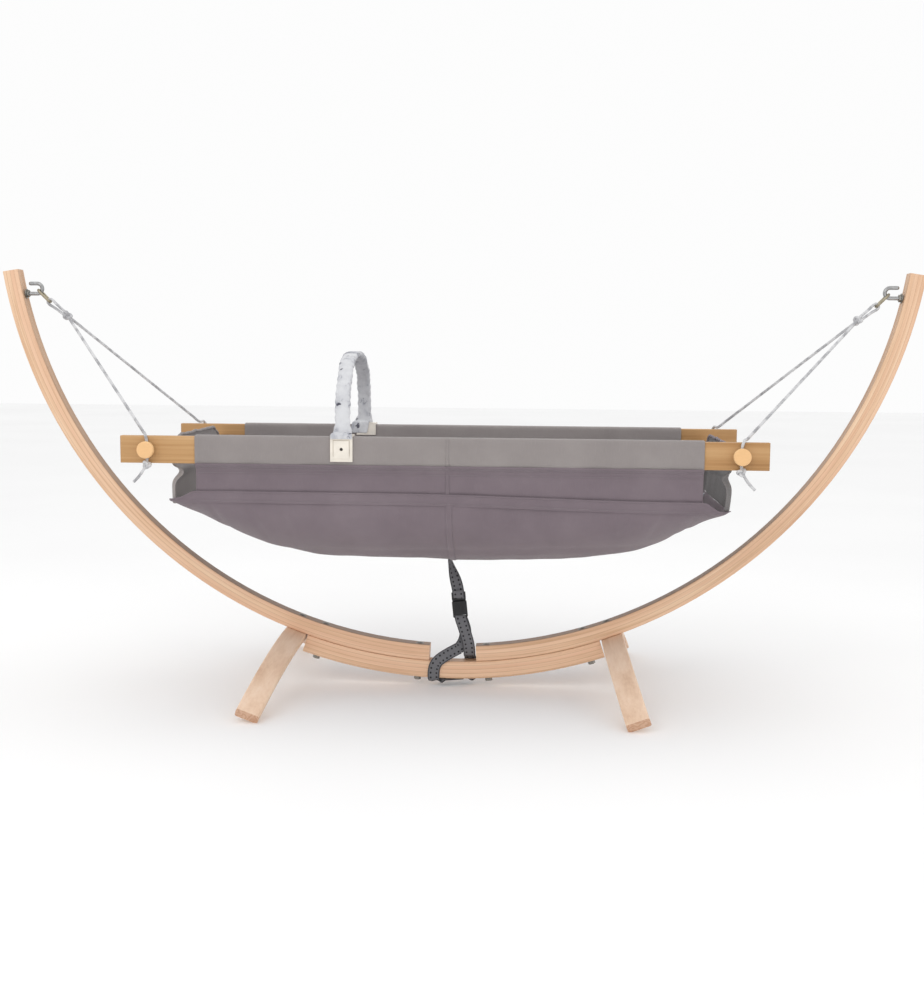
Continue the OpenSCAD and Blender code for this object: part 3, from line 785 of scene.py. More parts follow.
def rim_z(x):
    """The belly's rim sags in the gap past the side panels and rises again at its corners."""
    sag, rise = (0.018, 0.005) if x > 0 else (0.014, 0.0)
    return seam_z(x) - sag * ease((abs(x) - PANEL_END) / 0.036) + rise * ease((abs(x) - 0.530) / 0.013)


def keel_z(x):
    return BELLY_Z + (BELLY_END_Z - BELLY_Z) * (abs(x) / (BELLY_END + 0.002)) ** BELLY_RISE


def belly_at(x, y, inset=0.0):
    """Height of the belly under a point, raised by an inset."""
    part = max(0.0, 1 - (abs(y) / (BELLY_Y - inset)) ** BELLY_POWER) ** (1 / BELLY_POWER)
    return rim_z(x) - (rim_z(x) - keel_z(x) - inset) * part


def rumple(x, y, z, scale, seed):
    """A smooth random height from about -1 to 1."""
    return noise.noise(Vector((x * scale + seed, y * scale - seed, z * scale + 2 * seed)))


def ridge(value, centre, width):
    return math.exp(-((value - centre) / width) ** 2)


def make_band(depth, word):
    """The sleeve: one wide strip wrapped round the rail, its inner edge caught under the panel's hem."""
    profile = [(0.2262, 0.4782), (0.2288, 0.4806), (0.2316, 0.4824), (0.2330, 0.4856), (0.2334, 0.495),
               (0.2336, 0.510), (0.2336, 0.525), (0.2334, 0.5340), (0.2322, 0.5376), (0.2285, 0.5394),
               (0.2150, 0.5394), (0.2110, 0.5376), (0.2097, 0.5340), (0.2095, 0.525), (0.2095, 0.510),
               (0.2098, 0.495), (0.2104, 0.4872), (0.2130, 0.4826), (0.2178, 0.4802), (0.2212, 0.4770),
               (0.2224, 0.4700)]
    rows = []
    for x in np.linspace(-PANEL_END, PANEL_END, 246):
        row = []
        for i, (y, z) in enumerate(profile):
            loose = 0.0003 if 3 <= i <= 16 else 0.0011
            wave = rumple(x, i * 0.013, 0, 26, 3.0 + depth) * loose
            wave += rumple(x * 3.2, i * 0.004, 0, 30, 8.0 + depth) * 0.0002
            hem = 0.0005 * ridge(abs(x), PANEL_END - 0.004, 0.004)
            grow = 1 if i < 10 else -1
            row.append((x, depth * (y + grow * (wave + hem)), z + (0.6 * wave if 8 <= i <= 12 else 0)))
        rows.append(row)
    band = thicken(surface("band_" + word, rows), 0.0013)
    dress(band, "cradle", CANVAS_BAND, "cradle_cloth", "side_panel_" + word)


def panel_y(x, z, depth):
    """The outer face of the hanging side panel, which sags a little between rail and seam."""
    sag = 0.0016 * math.sin(math.pi * min(1.0, max(0.0, (z - seam_z(x)) / 0.056)))
    wave = rumple(x * 0.7, 0, z, 16, 5.0 + 3 * depth) * 0.0022 + rumple(x * 2.5, 0, z * 0.6, 24, 9.0) * 0.0008
    return 0.2252 - sag + wave


def hem_out(z):
    """How far the panel's hem stands out where it laps over the sleeve's edge."""
    return 0.0030 * min(1.0, max(0.0, (z - 0.470) / 0.010)) + 0.0058 * ease((z - 0.4765) / 0.0065)


def make_side_panel(depth, word):
    """The lower strip of canvas, hemmed over the sleeve's edge and sewn with two rows."""
    steps = [0.0, 0.0015, 0.0035, 0.0055, 0.0075, 0.0095, 0.012, 0.0155, 0.0195, 0.0235,
             0.028, 0.033, 0.038, 0.043, 0.048, 0.0515, 0.0545, 0.0575, 0.0600]
    rows = []
    for x in np.linspace(-PANEL_END, PANEL_END, 246):
        row = []
        low = seam_z(x)
        for step in steps:
            z = PANEL_TOP - (PANEL_TOP - low) * step / steps[-1]
            y = panel_y(x, z, depth)
            out = hem_out(z) + 0.0008 * ease((z - 0.463) / 0.003)
            pull = 0.0007 * sum(ridge(z, row_z, 0.0016) for row_z in HEM_ROWS)
            pull += 0.0020 * ridge(z, low + 0.0030, 0.0022)
            row.append((x, depth * (y + out - pull), z))
        rows.append(row)
    panel = thicken(surface("lower_canvas_" + word, rows), 0.0014)
    dress(panel, "cradle", CANVAS_BELLY, "cradle_cloth", "side_panel_" + word)
    sewing = []
    for z in HEM_ROWS:
        line = [(x, depth * (panel_y(x, z, depth) + 0.0022), z)
                for x in np.linspace(-PANEL_END + 0.004, PANEL_END - 0.004, 300)]
        sewing.append(stitches("hem_stitches", line, (0, depth, 0)))
    for end in (-1, 1):
        line = [(end * (PANEL_END - 0.009), depth * 0.2342, z) for z in np.linspace(0.486, 0.534, 20)]
        sewing.append(stitches("band_stitches", line, (0, depth, 0)))
    sewn = joined("hem_stitches_" + word, sewing)
    dress(sewn, "cradle", THREAD, "cradle_cloth")


def make_side_seams():
    """The upright seam in the middle of each side: a folded ridge down sleeve and panel, sewn twice."""
    spans = (("sleeve", 0.5385, PANEL_TOP + 0.0008, CANVAS_BAND),
             ("panel", PANEL_TOP, seam_z(0.0) + 0.002, CANVAS_BELLY))
    for depth, word in ((-1, "front"), (1, "rear")):
        lines = [[], []]
        for part, top, low, cloth in spans:
            rows = []
            for z in np.linspace(top, low, 40):
                y = SLEEVE_FACE
                if part == "panel":
                    y = panel_y(0.001, z, depth) + 0.0008 + hem_out(z)
                if z > 0.5350:
                    y -= 0.0022 * ((z - 0.5350) / 0.0035) ** 2
                rows.append([(0.001 + a, depth * (y + b), z) for a, b in
                             ((-0.0036, 0.0002), (-0.0026, 0.0008), (-0.0006, 0.0010), (0.0, 0.0004),
                              (0.0006, 0.0010), (0.0026, 0.0008), (0.0036, 0.0002))])
                for number, a in enumerate((-0.0022, 0.0022)):
                    lines[number].append((0.001 + a, depth * (y + 0.0016), z))
            seam = thicken(surface("%s_seam_%s" % (part, word), rows), 0.0009)
            dress(seam, "cradle", cloth, "cradle_cloth")
        sewn = joined("seam_stitches_" + word, [stitches("s", line, (0, depth, 0), radius=0.0003)
                                                for line in lines])
        dress(sewn, "cradle", THREAD, "cradle_cloth")


def belly_point(x, y, inset):
    """A point on the belly's cloth, with its folds."""
    z = belly_at(x, y, inset)
    step = 0.002
    before, after = max(-BELLY_Y, y - step), min(BELLY_Y, y + step)
    slope_y = (belly_at(x, after, inset) - belly_at(x, before, inset)) / (2 * step)
    slope_x = (belly_at(x + step, y, inset) - belly_at(x - step, y, inset)) / (2 * step)
    normal = Vector((slope_x, slope_y, -1.0)).normalized()
    edge = min(1.0, max(0.0, (rim_z(x) - z) / 0.030)) * min(1.0, (BELLY_END + 0.001 - abs(x)) / 0.03)
    fold = rumple(x, y, z, 7.0, 1.0) * 0.0035 + rumple(x * 2.2, y, z * 0.7, 13.0, 6.0) * 0.0014
    across = 0.300 + 0.012 * math.sin(3.0 * x) + 0.35 * max(0.0, abs(x) - 0.36) ** 1.2
    fold -= 0.0030 * ridge(z, across + 0.012, 0.006) * (0.5 + 0.5 * rumple(x, 0, 0, 3.0, 2.0))
    fold += 0.0024 * ridge(z, across, 0.008)
    for place, lean in ((-0.47, 0.5), (-0.40, 0.7), (-0.33, 0.4), (0.36, -0.5), (0.43, -0.7), (0.49, -0.5)):
        middle_x = place + lean * (SEAM_Z - z) * 0.6
        fold -= 0.0026 * ridge(x, middle_x, 0.007) * min(1.0, (SEAM_Z - z) / 0.05) * ridge(z, 0.38, 0.045)
    return Vector((x, y, z)) + normal * (fold * edge)


def make_belly():
    """The hanging belly: one curved sheet with soft folds."""
    rows = []
    for x in -BELLY_END * np.cos(np.linspace(0, math.pi, 180)):
        rows.append([belly_point(x, -BELLY_Y * math.cos(a), 0.0008) for a in np.linspace(0, math.pi, 90)])
    belly = thicken(surface("belly", rows), 0.0016)
    dress(belly, "cradle", CANVAS_BELLY, "cradle_cloth", "belly_panel")


def make_rims():
    """A doubled strip along each seam, stitched down at its lower edge, with the raw seam rolled outwards."""
    for depth, word in ((-1, "front"), (1, "rear")):
        rows, roll, low = [], [], []
        for x in np.linspace(-BELLY_END + 0.010, BELLY_END - 0.010, 270):
            top = rim_z(x)
            row = []
            for drop in (-0.0016, 0.0004, 0.003, 0.007, 0.012, 0.016, 0.0188, 0.0204):
                part = max(0.0, min(1.0, drop / (top - keel_z(x))))
                y = BELLY_Y * (1 - part ** BELLY_POWER) ** (1 / BELLY_POWER)
                out = 0.0016 - 0.0007 * ridge(drop, 0.016, 0.0014)
                out += 0.0006 * rumple(x * 2, 0, drop * 4, 40, depth)
                row.append((x, depth * (y + out), top - drop))
            rows.append(row)
            wobble = 0.0004 * rumple(x, 0, 0, 40, 5 + depth)
            roll.append((x, depth * (BELLY_Y + 0.0016 + wobble), top + 0.0012))
            low.append((x, row[5][1] + depth * 0.0012, row[5][2]))
        strip = thicken(surface("rim_" + word, rows), 0.0013)
        cord = rope("rim_roll_" + word, roll[::2], 0.0020, sides=10, strands=1, pitch=0.9, relief=0.0002)
        rim = joined("rim_" + word, [strip, cord])
        dress(rim, "cradle", CANVAS_BELLY, "cradle_cloth")
        sewn = stitches("rim_stitches_" + word, low, (0, depth, 0))
        dress(sewn, "cradle", THREAD, "cradle_cloth")


def make_centre_seam():
    """The seam across the middle of the belly: a narrow folded ridge from rim to rim."""
    rows = []
    for a in np.linspace(0.03, math.pi - 0.03, 150):
        y = -BELLY_Y * math.cos(a)
        row = []
        for offset, lift in ((-0.006, 0.0004), (-0.0045, 0.0014), (-0.0010, 0.0017), (0.0, 0.0010),
                             (0.0010, 0.0017), (0.0045, 0.0014), (0.006, 0.0004)):
            x = 0.004 + offset
            at = belly_point(x, y, 0.0008)
            ahead = belly_point(x, y + 0.001, 0.0008) - belly_point(x, y - 0.001, 0.0008)
            outward = Vector((0, ahead.z, -ahead.y)).normalized()
            row.append(at + outward * (lift + 0.0004))
        rows.append(row)
    seam = thicken(surface("centre_seam", rows), 0.0010)
    dress(seam, "cradle", CANVAS_BELLY, "cradle_cloth")


def end_point(side, s, t, lift=0.0):
    """A point on an end panel: s runs across it from -1 to 1, t from the belly's end up to the hem."""
    low_y = s * (BELLY_Y - 0.003)
    low = belly_at(BELLY_END, low_y)
    wide = abs(s)
    high = RAIL_TOP - (0.009 if side > 0 else 0.003) - 0.025 * ease((wide - 0.62) / 0.38)
    high += 0.0026 * rumple(0, low_y, 0, 26, 3 + side)
    z = low + (high - low) * t
    y = low_y * (1 - ease((z - 0.474) / 0.012) * 0.064)
    pinch = (0.017 if side < 0 else 0.010) * ridge(z, 0.466, 0.013) * (0.35 + 0.65 * wide ** 2)
    wrap = 0.013 * ease((wide - 0.88) / 0.12) * (1 - ease((z - 0.470) / 0.010))
    bulge = (0.007 * math.cos(s * math.pi / 2) + (0.004 if side > 0 else 0.0)) * math.sin(math.pi * t)
    wave = 0.0030 * rumple(0, y, z * 0.6, 17, 7 + side) * math.sin(math.pi * min(1.0, t + 0.15))
    return side * (BELLY_END + 0.0010 + bulge - pinch - wrap + wave + lift), y, z


def make_end_panels():
    """The two upright ends: a panel rising from the belly, with a rolled hem and a row of stitches."""
    for side, word in ((-1, "left"), (1, "right")):
        across = np.linspace(-1, 1, 64)
        rows = [[end_point(side, s, t) for t in np.linspace(0, 1, 34)] for s in across]
        panel = surface("end_canvas_" + word, rows)
        thicken(panel, 0.0016)
        # Painted shade: the right end panel gets the darker grey canvas and a darker hem than the left one,
        # standing for its inside lying in shade.
        cloth, trim = (CANVAS_BAND, CANVAS_BAND) if side < 0 else (CANVAS_PAINTED_SHADE, CANVAS_BELLY)
        dress(panel, "cradle", cloth, "cradle_cloth", "end_panel_" + word)
        hem = spline([end_point(side, s, 1.0) for s in np.linspace(-1, 1, 100)], 0.003)
        roll = rope("end_hem_" + word, hem, 0.0034, sides=12, strands=1, pitch=0.031, relief=0.0011)
        dress(roll, "cradle", trim, "cradle_cloth")
        row = [end_point(side, s, 0.93, 0.0011) for s in np.linspace(-0.98, 0.98, 120)]
        sewn = stitches("end_stitches_" + word, row, (side, 0, 0))
        dress(sewn, "cradle", THREAD, "cradle_cloth")


# ---- mattress pad ----

def swell(piece, pressure, cap):
    """Blows a closed soft form up a little with cloth simulation, and holds each point near its start."""
    start = np.empty(len(piece.data.vertices) * 3, np.float32)
    piece.data.vertices.foreach_get("co", start)
    start = start.reshape(-1, 3)
    cloth = piece.modifiers.new("fill", "CLOTH")
    cloth.settings.quality = 5
    cloth.settings.mass = 0.2
    cloth.settings.tension_stiffness = 12
    cloth.settings.compression_stiffness = 6
    cloth.settings.bending_stiffness = 0.6
    cloth.settings.use_pressure = True
    cloth.settings.uniform_pressure_force = pressure
    cloth.settings.effector_weights.gravity = 0
    cloth.collision_settings.use_collision = False
    cloth.point_cache.frame_start = 1
    cloth.point_cache.frame_end = 20
    for number in range(1, 21):
        bpy.context.scene.frame_set(number)
    apply_all(piece)
    end = np.empty_like(start.ravel())
    piece.data.vertices.foreach_get("co", end)
    move = end.reshape(-1, 3) - start
    far = np.linalg.norm(move, axis=1)[:, None]
    move *= np.minimum(1.0, cap / np.maximum(far, 1e-9))
    piece.data.vertices.foreach_set("co", (start + move).ravel())
    piece.data.update()
    bpy.context.scene.frame_set(1)
    return piece


def pad_lift(x):
    """The pad turns up at its two ends."""
    return 0.0015 + 0.042 * min(1.0, max(0.0, (abs(x) - 0.400) / 0.108)) ** 2


def make_pad():
    """The mattress pad lies in the belly: a printed, lightly stuffed pad with four sewn channels."""
    half_x, half_y = 0.504, 0.160
    points, faces = [], []
    columns, sides = 120, 36
    for i, x in enumerate(np.linspace(-half_x, half_x, columns)):
        close = min(1.0, (half_x - abs(x)) / 0.020)
        full = math.sqrt(max(0.0, 1 - (1 - close) ** 2))
        for j in range(sides):
            a = 2 * math.pi * j / sides
            cross = abs(math.cos(a)) ** 0.35 * math.copysign(1, math.cos(a))
            rise = abs(math.sin(a)) ** 0.45 * math.copysign(1, math.sin(a))
            y = cross * (half_y - 0.012 * (1 - full))
            thick = 0.0128 * (0.15 + 0.85 * full)
            points.append((x, y, belly_at(x, y, 0.004) + pad_lift(x) + 0.0175 + rise * thick))
    for i in range(columns - 1):
        for j in range(sides):
            k = (j + 1) % sides
            faces.append((i * sides + j, (i + 1) * sides + j, (i + 1) * sides + k, i * sides + k))
    faces.append(tuple(range(sides)))
    faces.append(tuple(range((columns - 1) * sides, columns * sides))[::-1])
    pad = new_object("printed_pad", points, faces)
    cleaned(pad, ends=False)
    grid = pad.modifiers.new("grid", "REMESH")
    grid.mode = "VOXEL"
    grid.voxel_size = 0.006
    apply_all(pad)
    swell(pad, 4.0, 0.007)
    for vertex in pad.data.vertices:
        x, y, z = vertex.co
        floor = belly_at(x, y, 0.004) + pad_lift(x) + 0.0010
        if z < floor:
            vertex.co.z = floor
        top = z - floor
        if top > 0.015:
            groove = sum(ridge(y, place, 0.004) for place in (-0.096, -0.032, 0.032, 0.096))
            groove += ridge(x % 0.13, 0.065, 0.004)
            vertex.co.z = z - 0.0028 * min(1.0, groove)
    smooth = pad.modifiers.new("smooth", "SUBSURF")
    smooth.levels = smooth.render_levels = 1
    apply_all(pad)
    pad.data.shade_smooth()
    dress(pad, "cradle", PRINT, "print_cloth", "mattress_pad")


# ---- toy arch ----

TOY_X = middle("clamp_front").x
TOY_LEAN = 0.015
TOY_FOOT_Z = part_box("toy_arch_sleeve")[0].z
TOY_TOP_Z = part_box("toy_arch_sleeve")[1].z
TOY_HALF = 0.2195
SCREW_Z = 0.5155


def toy_line(a):
    """A point (y, z) on the arch's middle line, a flattened half circle, at an angle from its rear foot."""
    c, s = math.cos(a), math.sin(a)
    return (math.copysign(abs(c) ** (2 / 2.6), c) * TOY_HALF,
            TOY_FOOT_Z + max(0.0, s) ** (2 / 2.6) * (TOY_TOP_Z - 0.009 - TOY_FOOT_Z))


def make_toy_arch():
    """A padded, gathered fabric sleeve pulled over a flexible strip."""
    dense = np.array([toy_line(a) for a in np.linspace(0, math.pi, 4001)])
    travel = travelled(dense)
    count, sides = 230, 40
    rows = []
    for s in np.linspace(0, travel[-1], count):
        y = np.interp(s, travel, dense[:, 0])
        z = np.interp(s, travel, dense[:, 1])
        before = [np.interp(max(0, s - 0.004), travel, dense[:, k]) for k in (0, 1)]
        after = [np.interp(min(travel[-1], s + 0.004), travel, dense[:, k]) for k in (0, 1)]
        ahead = unit([after[0] - before[0], after[1] - before[1]])
        out = (-ahead[1], ahead[0])
        near = min(s, travel[-1] - s)
        gather = 1.0 + 0.30 * (1 - ease(near / 0.022)) + 0.05 * rumple(s, 0, 0, 30, 4.0)
        centre_x = TOY_X - TOY_LEAN * (y + TOY_HALF) / (2 * TOY_HALF)
        ring = []
        for j in range(sides):
            a = 2 * math.pi * j / sides
            c, d = math.cos(a), math.sin(a)
            wide = math.copysign(abs(c) ** 0.62, c) * 0.0146 * gather
            deep = math.copysign(abs(d) ** 0.80, d) * 0.0064 * gather
            pucker = 0.0007 * math.sin(s * 2 * math.pi / 0.017 + 2.2 * c) * ridge(abs(c), 1.0, 0.5)
            pucker += 0.0014 * rumple(s, c * 0.04, d * 0.04, 34, 11.0)
            pucker += 0.0008 * rumple(s * 0.5, c * 0.03, 0, 90, 5.0)
            rise = deep + pucker * d
            ring.append((centre_x + wide + pucker * c, y + out[0] * rise, z + out[1] * rise))
        rows.append(ring)
    sleeve = surface("printed_sleeve", rows, wrap=True)
    cleaned(sleeve)
    round_once(sleeve)
    apply_all(sleeve)
    sleeve.data.shade_smooth()
    dress(sleeve, "toy_arch", PRINT, "print_cloth", "toy_arch_sleeve")


def booleans(piece, operation, tools):
    """Adds or cuts other closed forms, then removes them."""
    for number, tool in enumerate(tools):
        cut = piece.modifiers.new("cut%d" % number, "BOOLEAN")
        cut.operation = operation
        cut.solver = "EXACT"
        cut.object = tool
    apply_all(piece)
    for tool in tools:
        bpy.data.objects.remove(tool, do_unlink=True)
    return piece


def round_edges(piece, width, angle):
    """Rounds the sharp edges of a finished form in two steps."""
    bevelled(piece, width, angle).segments = 2
    apply_all(piece)
    return shade_by_angle(piece, 40)


def block(name, low, high):
    """A plain block to cut with or to add."""
    return rounded_box(name, low, high, 0.00004, 1)


def cylinder(name, radius, depth, place):
    """A short round bar that points front to back."""
    bpy.ops.object.select_all(action="DESELECT")
    bpy.ops.mesh.primitive_cylinder_add(radius=radius, depth=depth, vertices=32)
    made = bpy.context.active_object
    made.name = name
    made.data.transform(Matrix.Translation(place) @ Matrix.Rotation(math.radians(90), 4, "X"))
    return made


def make_clamp(depth, word):
    """A plastic clip that straddles the sleeved rail: two plates joined over the top, with a raised cover."""
    low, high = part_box("clamp_" + word)
    centre_x = (low.x + high.x) / 2
    outer, inner = 0.2343 * depth, 0.2081 * depth
    face = outer + 0.0035 * depth

    def slab(name, x1, x2, y1, y2, z1, z2):
        return block(name, (x1, min(y1, y2), z1), (x2, max(y1, y2), z2))
    plate = slab("clip_" + word, low.x, high.x, outer, face, low.z, high.z)
    back = slab("back", low.x, high.x, inner, inner - 0.0030 * depth, 0.5165, high.z)
    bridge = slab("bridge", low.x, high.x, inner - 0.001 * depth, outer + 0.001 * depth, 0.5398, high.z)
    cover = slab("cover", centre_x - 0.0150, centre_x + 0.0150, outer + 0.002 * depth, face + 0.0010 * depth,
                 low.z + 0.0060, 0.5318)
    booleans(plate, "UNION", [back, bridge, cover])
    cuts = [cylinder("hole", 0.0032, 0.0060, (centre_x, face, SCREW_Z))]
    for x1, x2, z1, z2 in ((-0.0160, 0.0160, 0.5318, 0.5336), (-0.0162, -0.0150, 0.5020, 0.5325),
                           (0.0150, 0.0162, 0.5020, 0.5325)):
        cuts.append(slab("groove", centre_x + x1, centre_x + x2, face - 0.0020 * depth, face + 0.002 * depth,
                         z1, z2))
    booleans(plate, "DIFFERENCE", cuts)
    round_edges(plate, 0.0003, 35)
    dress(plate, "toy_arch", CLAMP, "clamp_plastic", "clamp_" + word)
    head = cylinder("clip_screw_" + word, 0.0028, 0.0020, (centre_x, face - 0.0016 * depth, SCREW_Z))
    cross = [slab("cross", centre_x - a, centre_x + a, face - 0.0012 * depth, face + 0.002 * depth,
                  SCREW_Z - b, SCREW_Z + b) for a, b in ((0.0016, 0.0003), (0.0003, 0.0016))]
    booleans(head, "DIFFERENCE", cross)
    dress(head, "toy_arch", DARK, "clamp_screw", "clamp_screws")


def make_flaps():
    """The sleeve's two ends spread out over the clips, down the front face and down the rear's inner face."""
    front_x = middle("clamp_front").x
    rear_x = middle("clamp_rear").x
    front = [(-0.2160, 0.5560, 0.0150), (-0.2225, 0.5500, 0.0165), (-0.2300, 0.5462, 0.0185),
             (-0.2370, 0.5448, 0.0200), (-0.2394, 0.5425, 0.0208), (-0.2398, 0.5385, 0.0212),
             (-0.2397, 0.5350, 0.0214)]
    rear = [(0.2215, 0.5570, 0.0150), (0.2165, 0.5500, 0.0160), (0.2110, 0.5462, 0.0175),
            (0.2052, 0.5446, 0.0185), (0.2040, 0.5410, 0.0190), (0.2037, 0.5330, 0.0195),
            (0.2039, 0.5250, 0.0195), (0.2042, 0.5205, 0.0190)]
    for word, route, centre, drift in (("front", front, front_x, 0.0),
                                       ("rear", rear, rear_x - 0.008, -0.009)):
        stops = spline(route, 0.0012)
        rows = []
        for i, (y, z, half) in enumerate(stops):
            share = i / (len(stops) - 1)
            row = []
            for a in np.linspace(-1, 1, 26):
                x = centre + drift * share + a * half
                ruck = 0.0007 * rumple(x, y, z, 150, 2.0) + 0.0004 * math.sin(a * 9)
                out = -1 if word == "front" else 1
                inward = ruck * (1 if z < 0.543 else 0.3) * -out
                row.append((x, y + inward, z + (ruck if z > 0.543 else 0.0) + 0.0006))
            rows.append(row)
        flap = thicken(surface("sleeve_flap_" + word, rows), 0.0012)
        dress(flap, "toy_arch", PRINT, "print_cloth")


# ---- tether strap and buckle ----

BUCKLE_PLACE = Matrix.Translation((0.013, 0, 0.168)) @ Matrix.Rotation(math.radians(-6), 4, "Y")


def ribbon(name, route, step=0.0022):
    """A flat strap along points of (x, y, z, turn, lean).

    Its width lies along X, then leans about Y and turns about Z by that many degrees.
    """
    stops = np.array([p[:3] for p in route])
    line = spline(stops, step)
    given = travelled(stops)
    travel = travelled(line)
    given *= travel[-1] / given[-1]
    turns = np.radians(np.interp(travel, given, [p[3] for p in route]))
    leans = np.radians(np.interp(travel, given, [p[4] for p in route]))
    ahead = np.gradient(line, axis=0)
    ahead /= np.linalg.norm(ahead, axis=1)[:, None]
    section = [(-0.5, -0.3), (-0.47, -0.5), (-0.25, -0.5), (0.0, -0.5), (0.25, -0.5), (0.47, -0.5),
               (0.5, -0.3), (0.5, 0.3), (0.47, 0.5), (0.25, 0.5), (0.0, 0.5), (-0.25, 0.5),
               (-0.47, 0.5), (-0.5, 0.3)]
    points, faces, uvs = [], [], []
    n = len(section)
    for i, at in enumerate(line):
        flat = math.cos(leans[i])
        wide = np.array([flat * math.cos(turns[i]), flat * math.sin(turns[i]), -math.sin(leans[i])])
        wide = unit(wide - ahead[i] * (wide @ ahead[i]))
        thick = np.cross(ahead[i], wide)
        for a, b in section:
            points.append(at + wide * (a * WEB_W) + thick * (b * WEB_T))
    for i in range(len(line) - 1):
        for j in range(n):
            k = (j + 1) % n
            faces.append((i * n + j, (i + 1) * n + j, (i + 1) * n + k, i * n + k))
            u1, u2 = (section[j][0] + 0.5) * WEB_W, (section[k][0] + 0.5) * WEB_W
            v1, v2 = travel[i], travel[i + 1]
            uvs += [(u1, v1), (u1, v2), (u2, v2), (u2, v1)]
    last = (len(line) - 1) * n
    faces.append(tuple(range(n)))
    faces.append(tuple(range(last, last + n))[::-1])
    uvs += [((a + 0.5) * WEB_W, travel[0]) for a, b in section]
    uvs += [((a + 0.5) * WEB_W, travel[-1]) for a, b in section[::-1]]
    made = new_object(name, points, faces, uvs)
    alone(made)
    bpy.ops.object.mode_set(mode="EDIT")
    bpy.ops.mesh.select_all(action="SELECT")
    bpy.ops.mesh.normals_make_consistent(inside=False)
    bpy.ops.object.mode_set(mode="OBJECT")
    return shade_by_angle(made, 50)


def mm(*values):
    """Millimetres to metres."""
    return tuple(v / 1000 for v in values)


def buckle_point(x, y, z):
    """A point given in millimetres from the buckle's middle, with no turn and no lean."""
    at = BUCKLE_PLACE @ Vector(mm(x, y, z))
    return (*at, 0.0, 0.0)


def metres(route):
    """Points of (x, y, z) in millimetres, each with a turn and a lean in degrees."""
    return [(x / 1000, y / 1000, z / 1000, turn, lean) for x, y, z, turn, lean in route]


def make_straps():
    """The tether's webbing, from the belly down to the buckle and round the joiner."""
    upper = ribbon("webbing_upper", metres([
        (-9, 0, 273.5, 80, 0), (-7.2, 0.5, 262, 74, 0), (-4.0, 0.8, 250, 60, 0), (-0.2, 0.3, 238, 42, 0),
        (4.2, -0.6, 224, 22, 0), (7.6, -0.2, 211, 6, 0), (9.2, 0, 203, 0, 0), (9.6, 0, 200.2, 0, 0)]))
    dress(upper, None, WEBBING, "webbing", "strap_upper")
    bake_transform(upper)
    fold = ribbon("webbing_fold", [buckle_point(*p) for p in (
        (0, 0.2, 33.2), (0, -1.8, 32.2), (0, -3.1, 29.5), (0, -3.0, 27.4), (0, 0, 25.9),
        (0, 3.2, 24.4), (0, 3.3, 21.4), (0, 1.0, 19.4), (0, -2.4, 19.2), (0, -3.9, 21.5),
        (0, -4.6, 26), (0, -4.8, 31), (0, -4.6, 35))], 0.0008)
    dress(fold, "buckle_top", WEBBING, "webbing")
    lower = ribbon("webbing_lower", metres([
        (11.2, -7.4, 79.2, 0, 68), (15.5, -5.0, 83.5, 0, 60), (20.5, -2.0, 91.0, 0, 42),
        (24.0, 0.6, 100, 0, 22), (25.6, 2.2, 110, 0, 6), (24.6, 3.4, 120, 0, 0),
        (20.0, 4.8, 134, 0, 0), (16.6, 5.9, 143, 0, 0), (15.4, 4.6, 148.2, 0, 0),
        (15.1, 0, 149.5, 0, 0), (15.1, -4.6, 148.2, 0, 0), (16.2, -6.3, 143, 0, 0),
        (20.0, -7.4, 132, 0, 0), (28.0, -9, 108, 0, 0), (32.4, -8.8, 92, 0, 0),
        (34.4, -7.2, 78, 0, 0), (35.0, -4, 66.5, 0, 0)]), 0.0018)
    dress(lower, None, WEBBING, "webbing", "strap_lower")
    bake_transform(lower)
    loop = ribbon("webbing_loop", metres([
        (12.6, -6.6, 80.4, -6, 64), (6.0, -9.4, 77.0, -18, 64), (-6, -13.4, 71, -28, 62),
        (-16, -17.0, 65.4, -24, 60), (-25, -19.6, 59.5, -8, 52), (-32.4, -19.8, 52.5, 0, 34),
        (-37.2, -19.5, 44, 0, 14), (-39.6, -19.1, 34, 0, 2), (-40, -19.1, 20, 0, 0),
        (-39.4, -18.2, 15.6, 0, 0), (-37.0, -15.5, 13.2, 0, 0), (-20, -8, 13.0, 0, 0),
        (0, 0, 13.0, 0, 0), (18, 8, 13.0, 0, 0), (34.5, 15.5, 13.2, 0, 0),
        (36.8, 18.4, 15.6, 0, 0), (37, 19.2, 20, 0, 0), (36.2, 19.3, 36, 0, 0),
        (35.6, 19.3, 50, 0, 0), (35.4, 17.6, 56.4, 0, 0), (35.3, 12.5, 59.0, 0, 0),
        (35.2, 4.0, 61.6, 0, 0), (35.0, -2.6, 65.2, 0, 0), (35.0, -4.6, 68.4, 0, 0)]), 0.0016)
    dress(loop, "stand", WEBBING, "webbing", "strap_loop")


def make_patch():
    """A square of doubled webbing sewn under the belly, with a stitched box and cross."""
    low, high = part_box("strap_patch")
    patch = rounded_box("webbing_patch", (low.x, low.y, low.z), (high.x, high.y, high.z - 0.0001), 0.0008, 2)
    uv = patch.data.uv_layers.active
    for loop in patch.data.loops:
        x, y, z = patch.data.vertices[loop.vertex_index].co
        uv.data[loop.index].uv = (x - low.x, y)
    dress(patch, "cradle", WEBBING, "webbing", "strap_patch")
    z = low.z - 0.0001
    x1, x2, y1, y2 = low.x + 0.004, high.x - 0.004, low.y + 0.004, high.y - 0.004
    runs = [[(x1, y1, z), (x2, y1, z)], [(x2, y1, z), (x2, y2, z)], [(x2, y2, z), (x1, y2, z)],
            [(x1, y2, z), (x1, y1, z)], [(x1, y1, z), (x2, y2, z)], [(x1, y2, z), (x2, y1, z)]]
    sewn = joined("patch_stitches", [stitches("s", spline(run, 0.002), (0, 0, -1)) for run in runs])
    dress(sewn, "cradle", THREAD, "webbing")


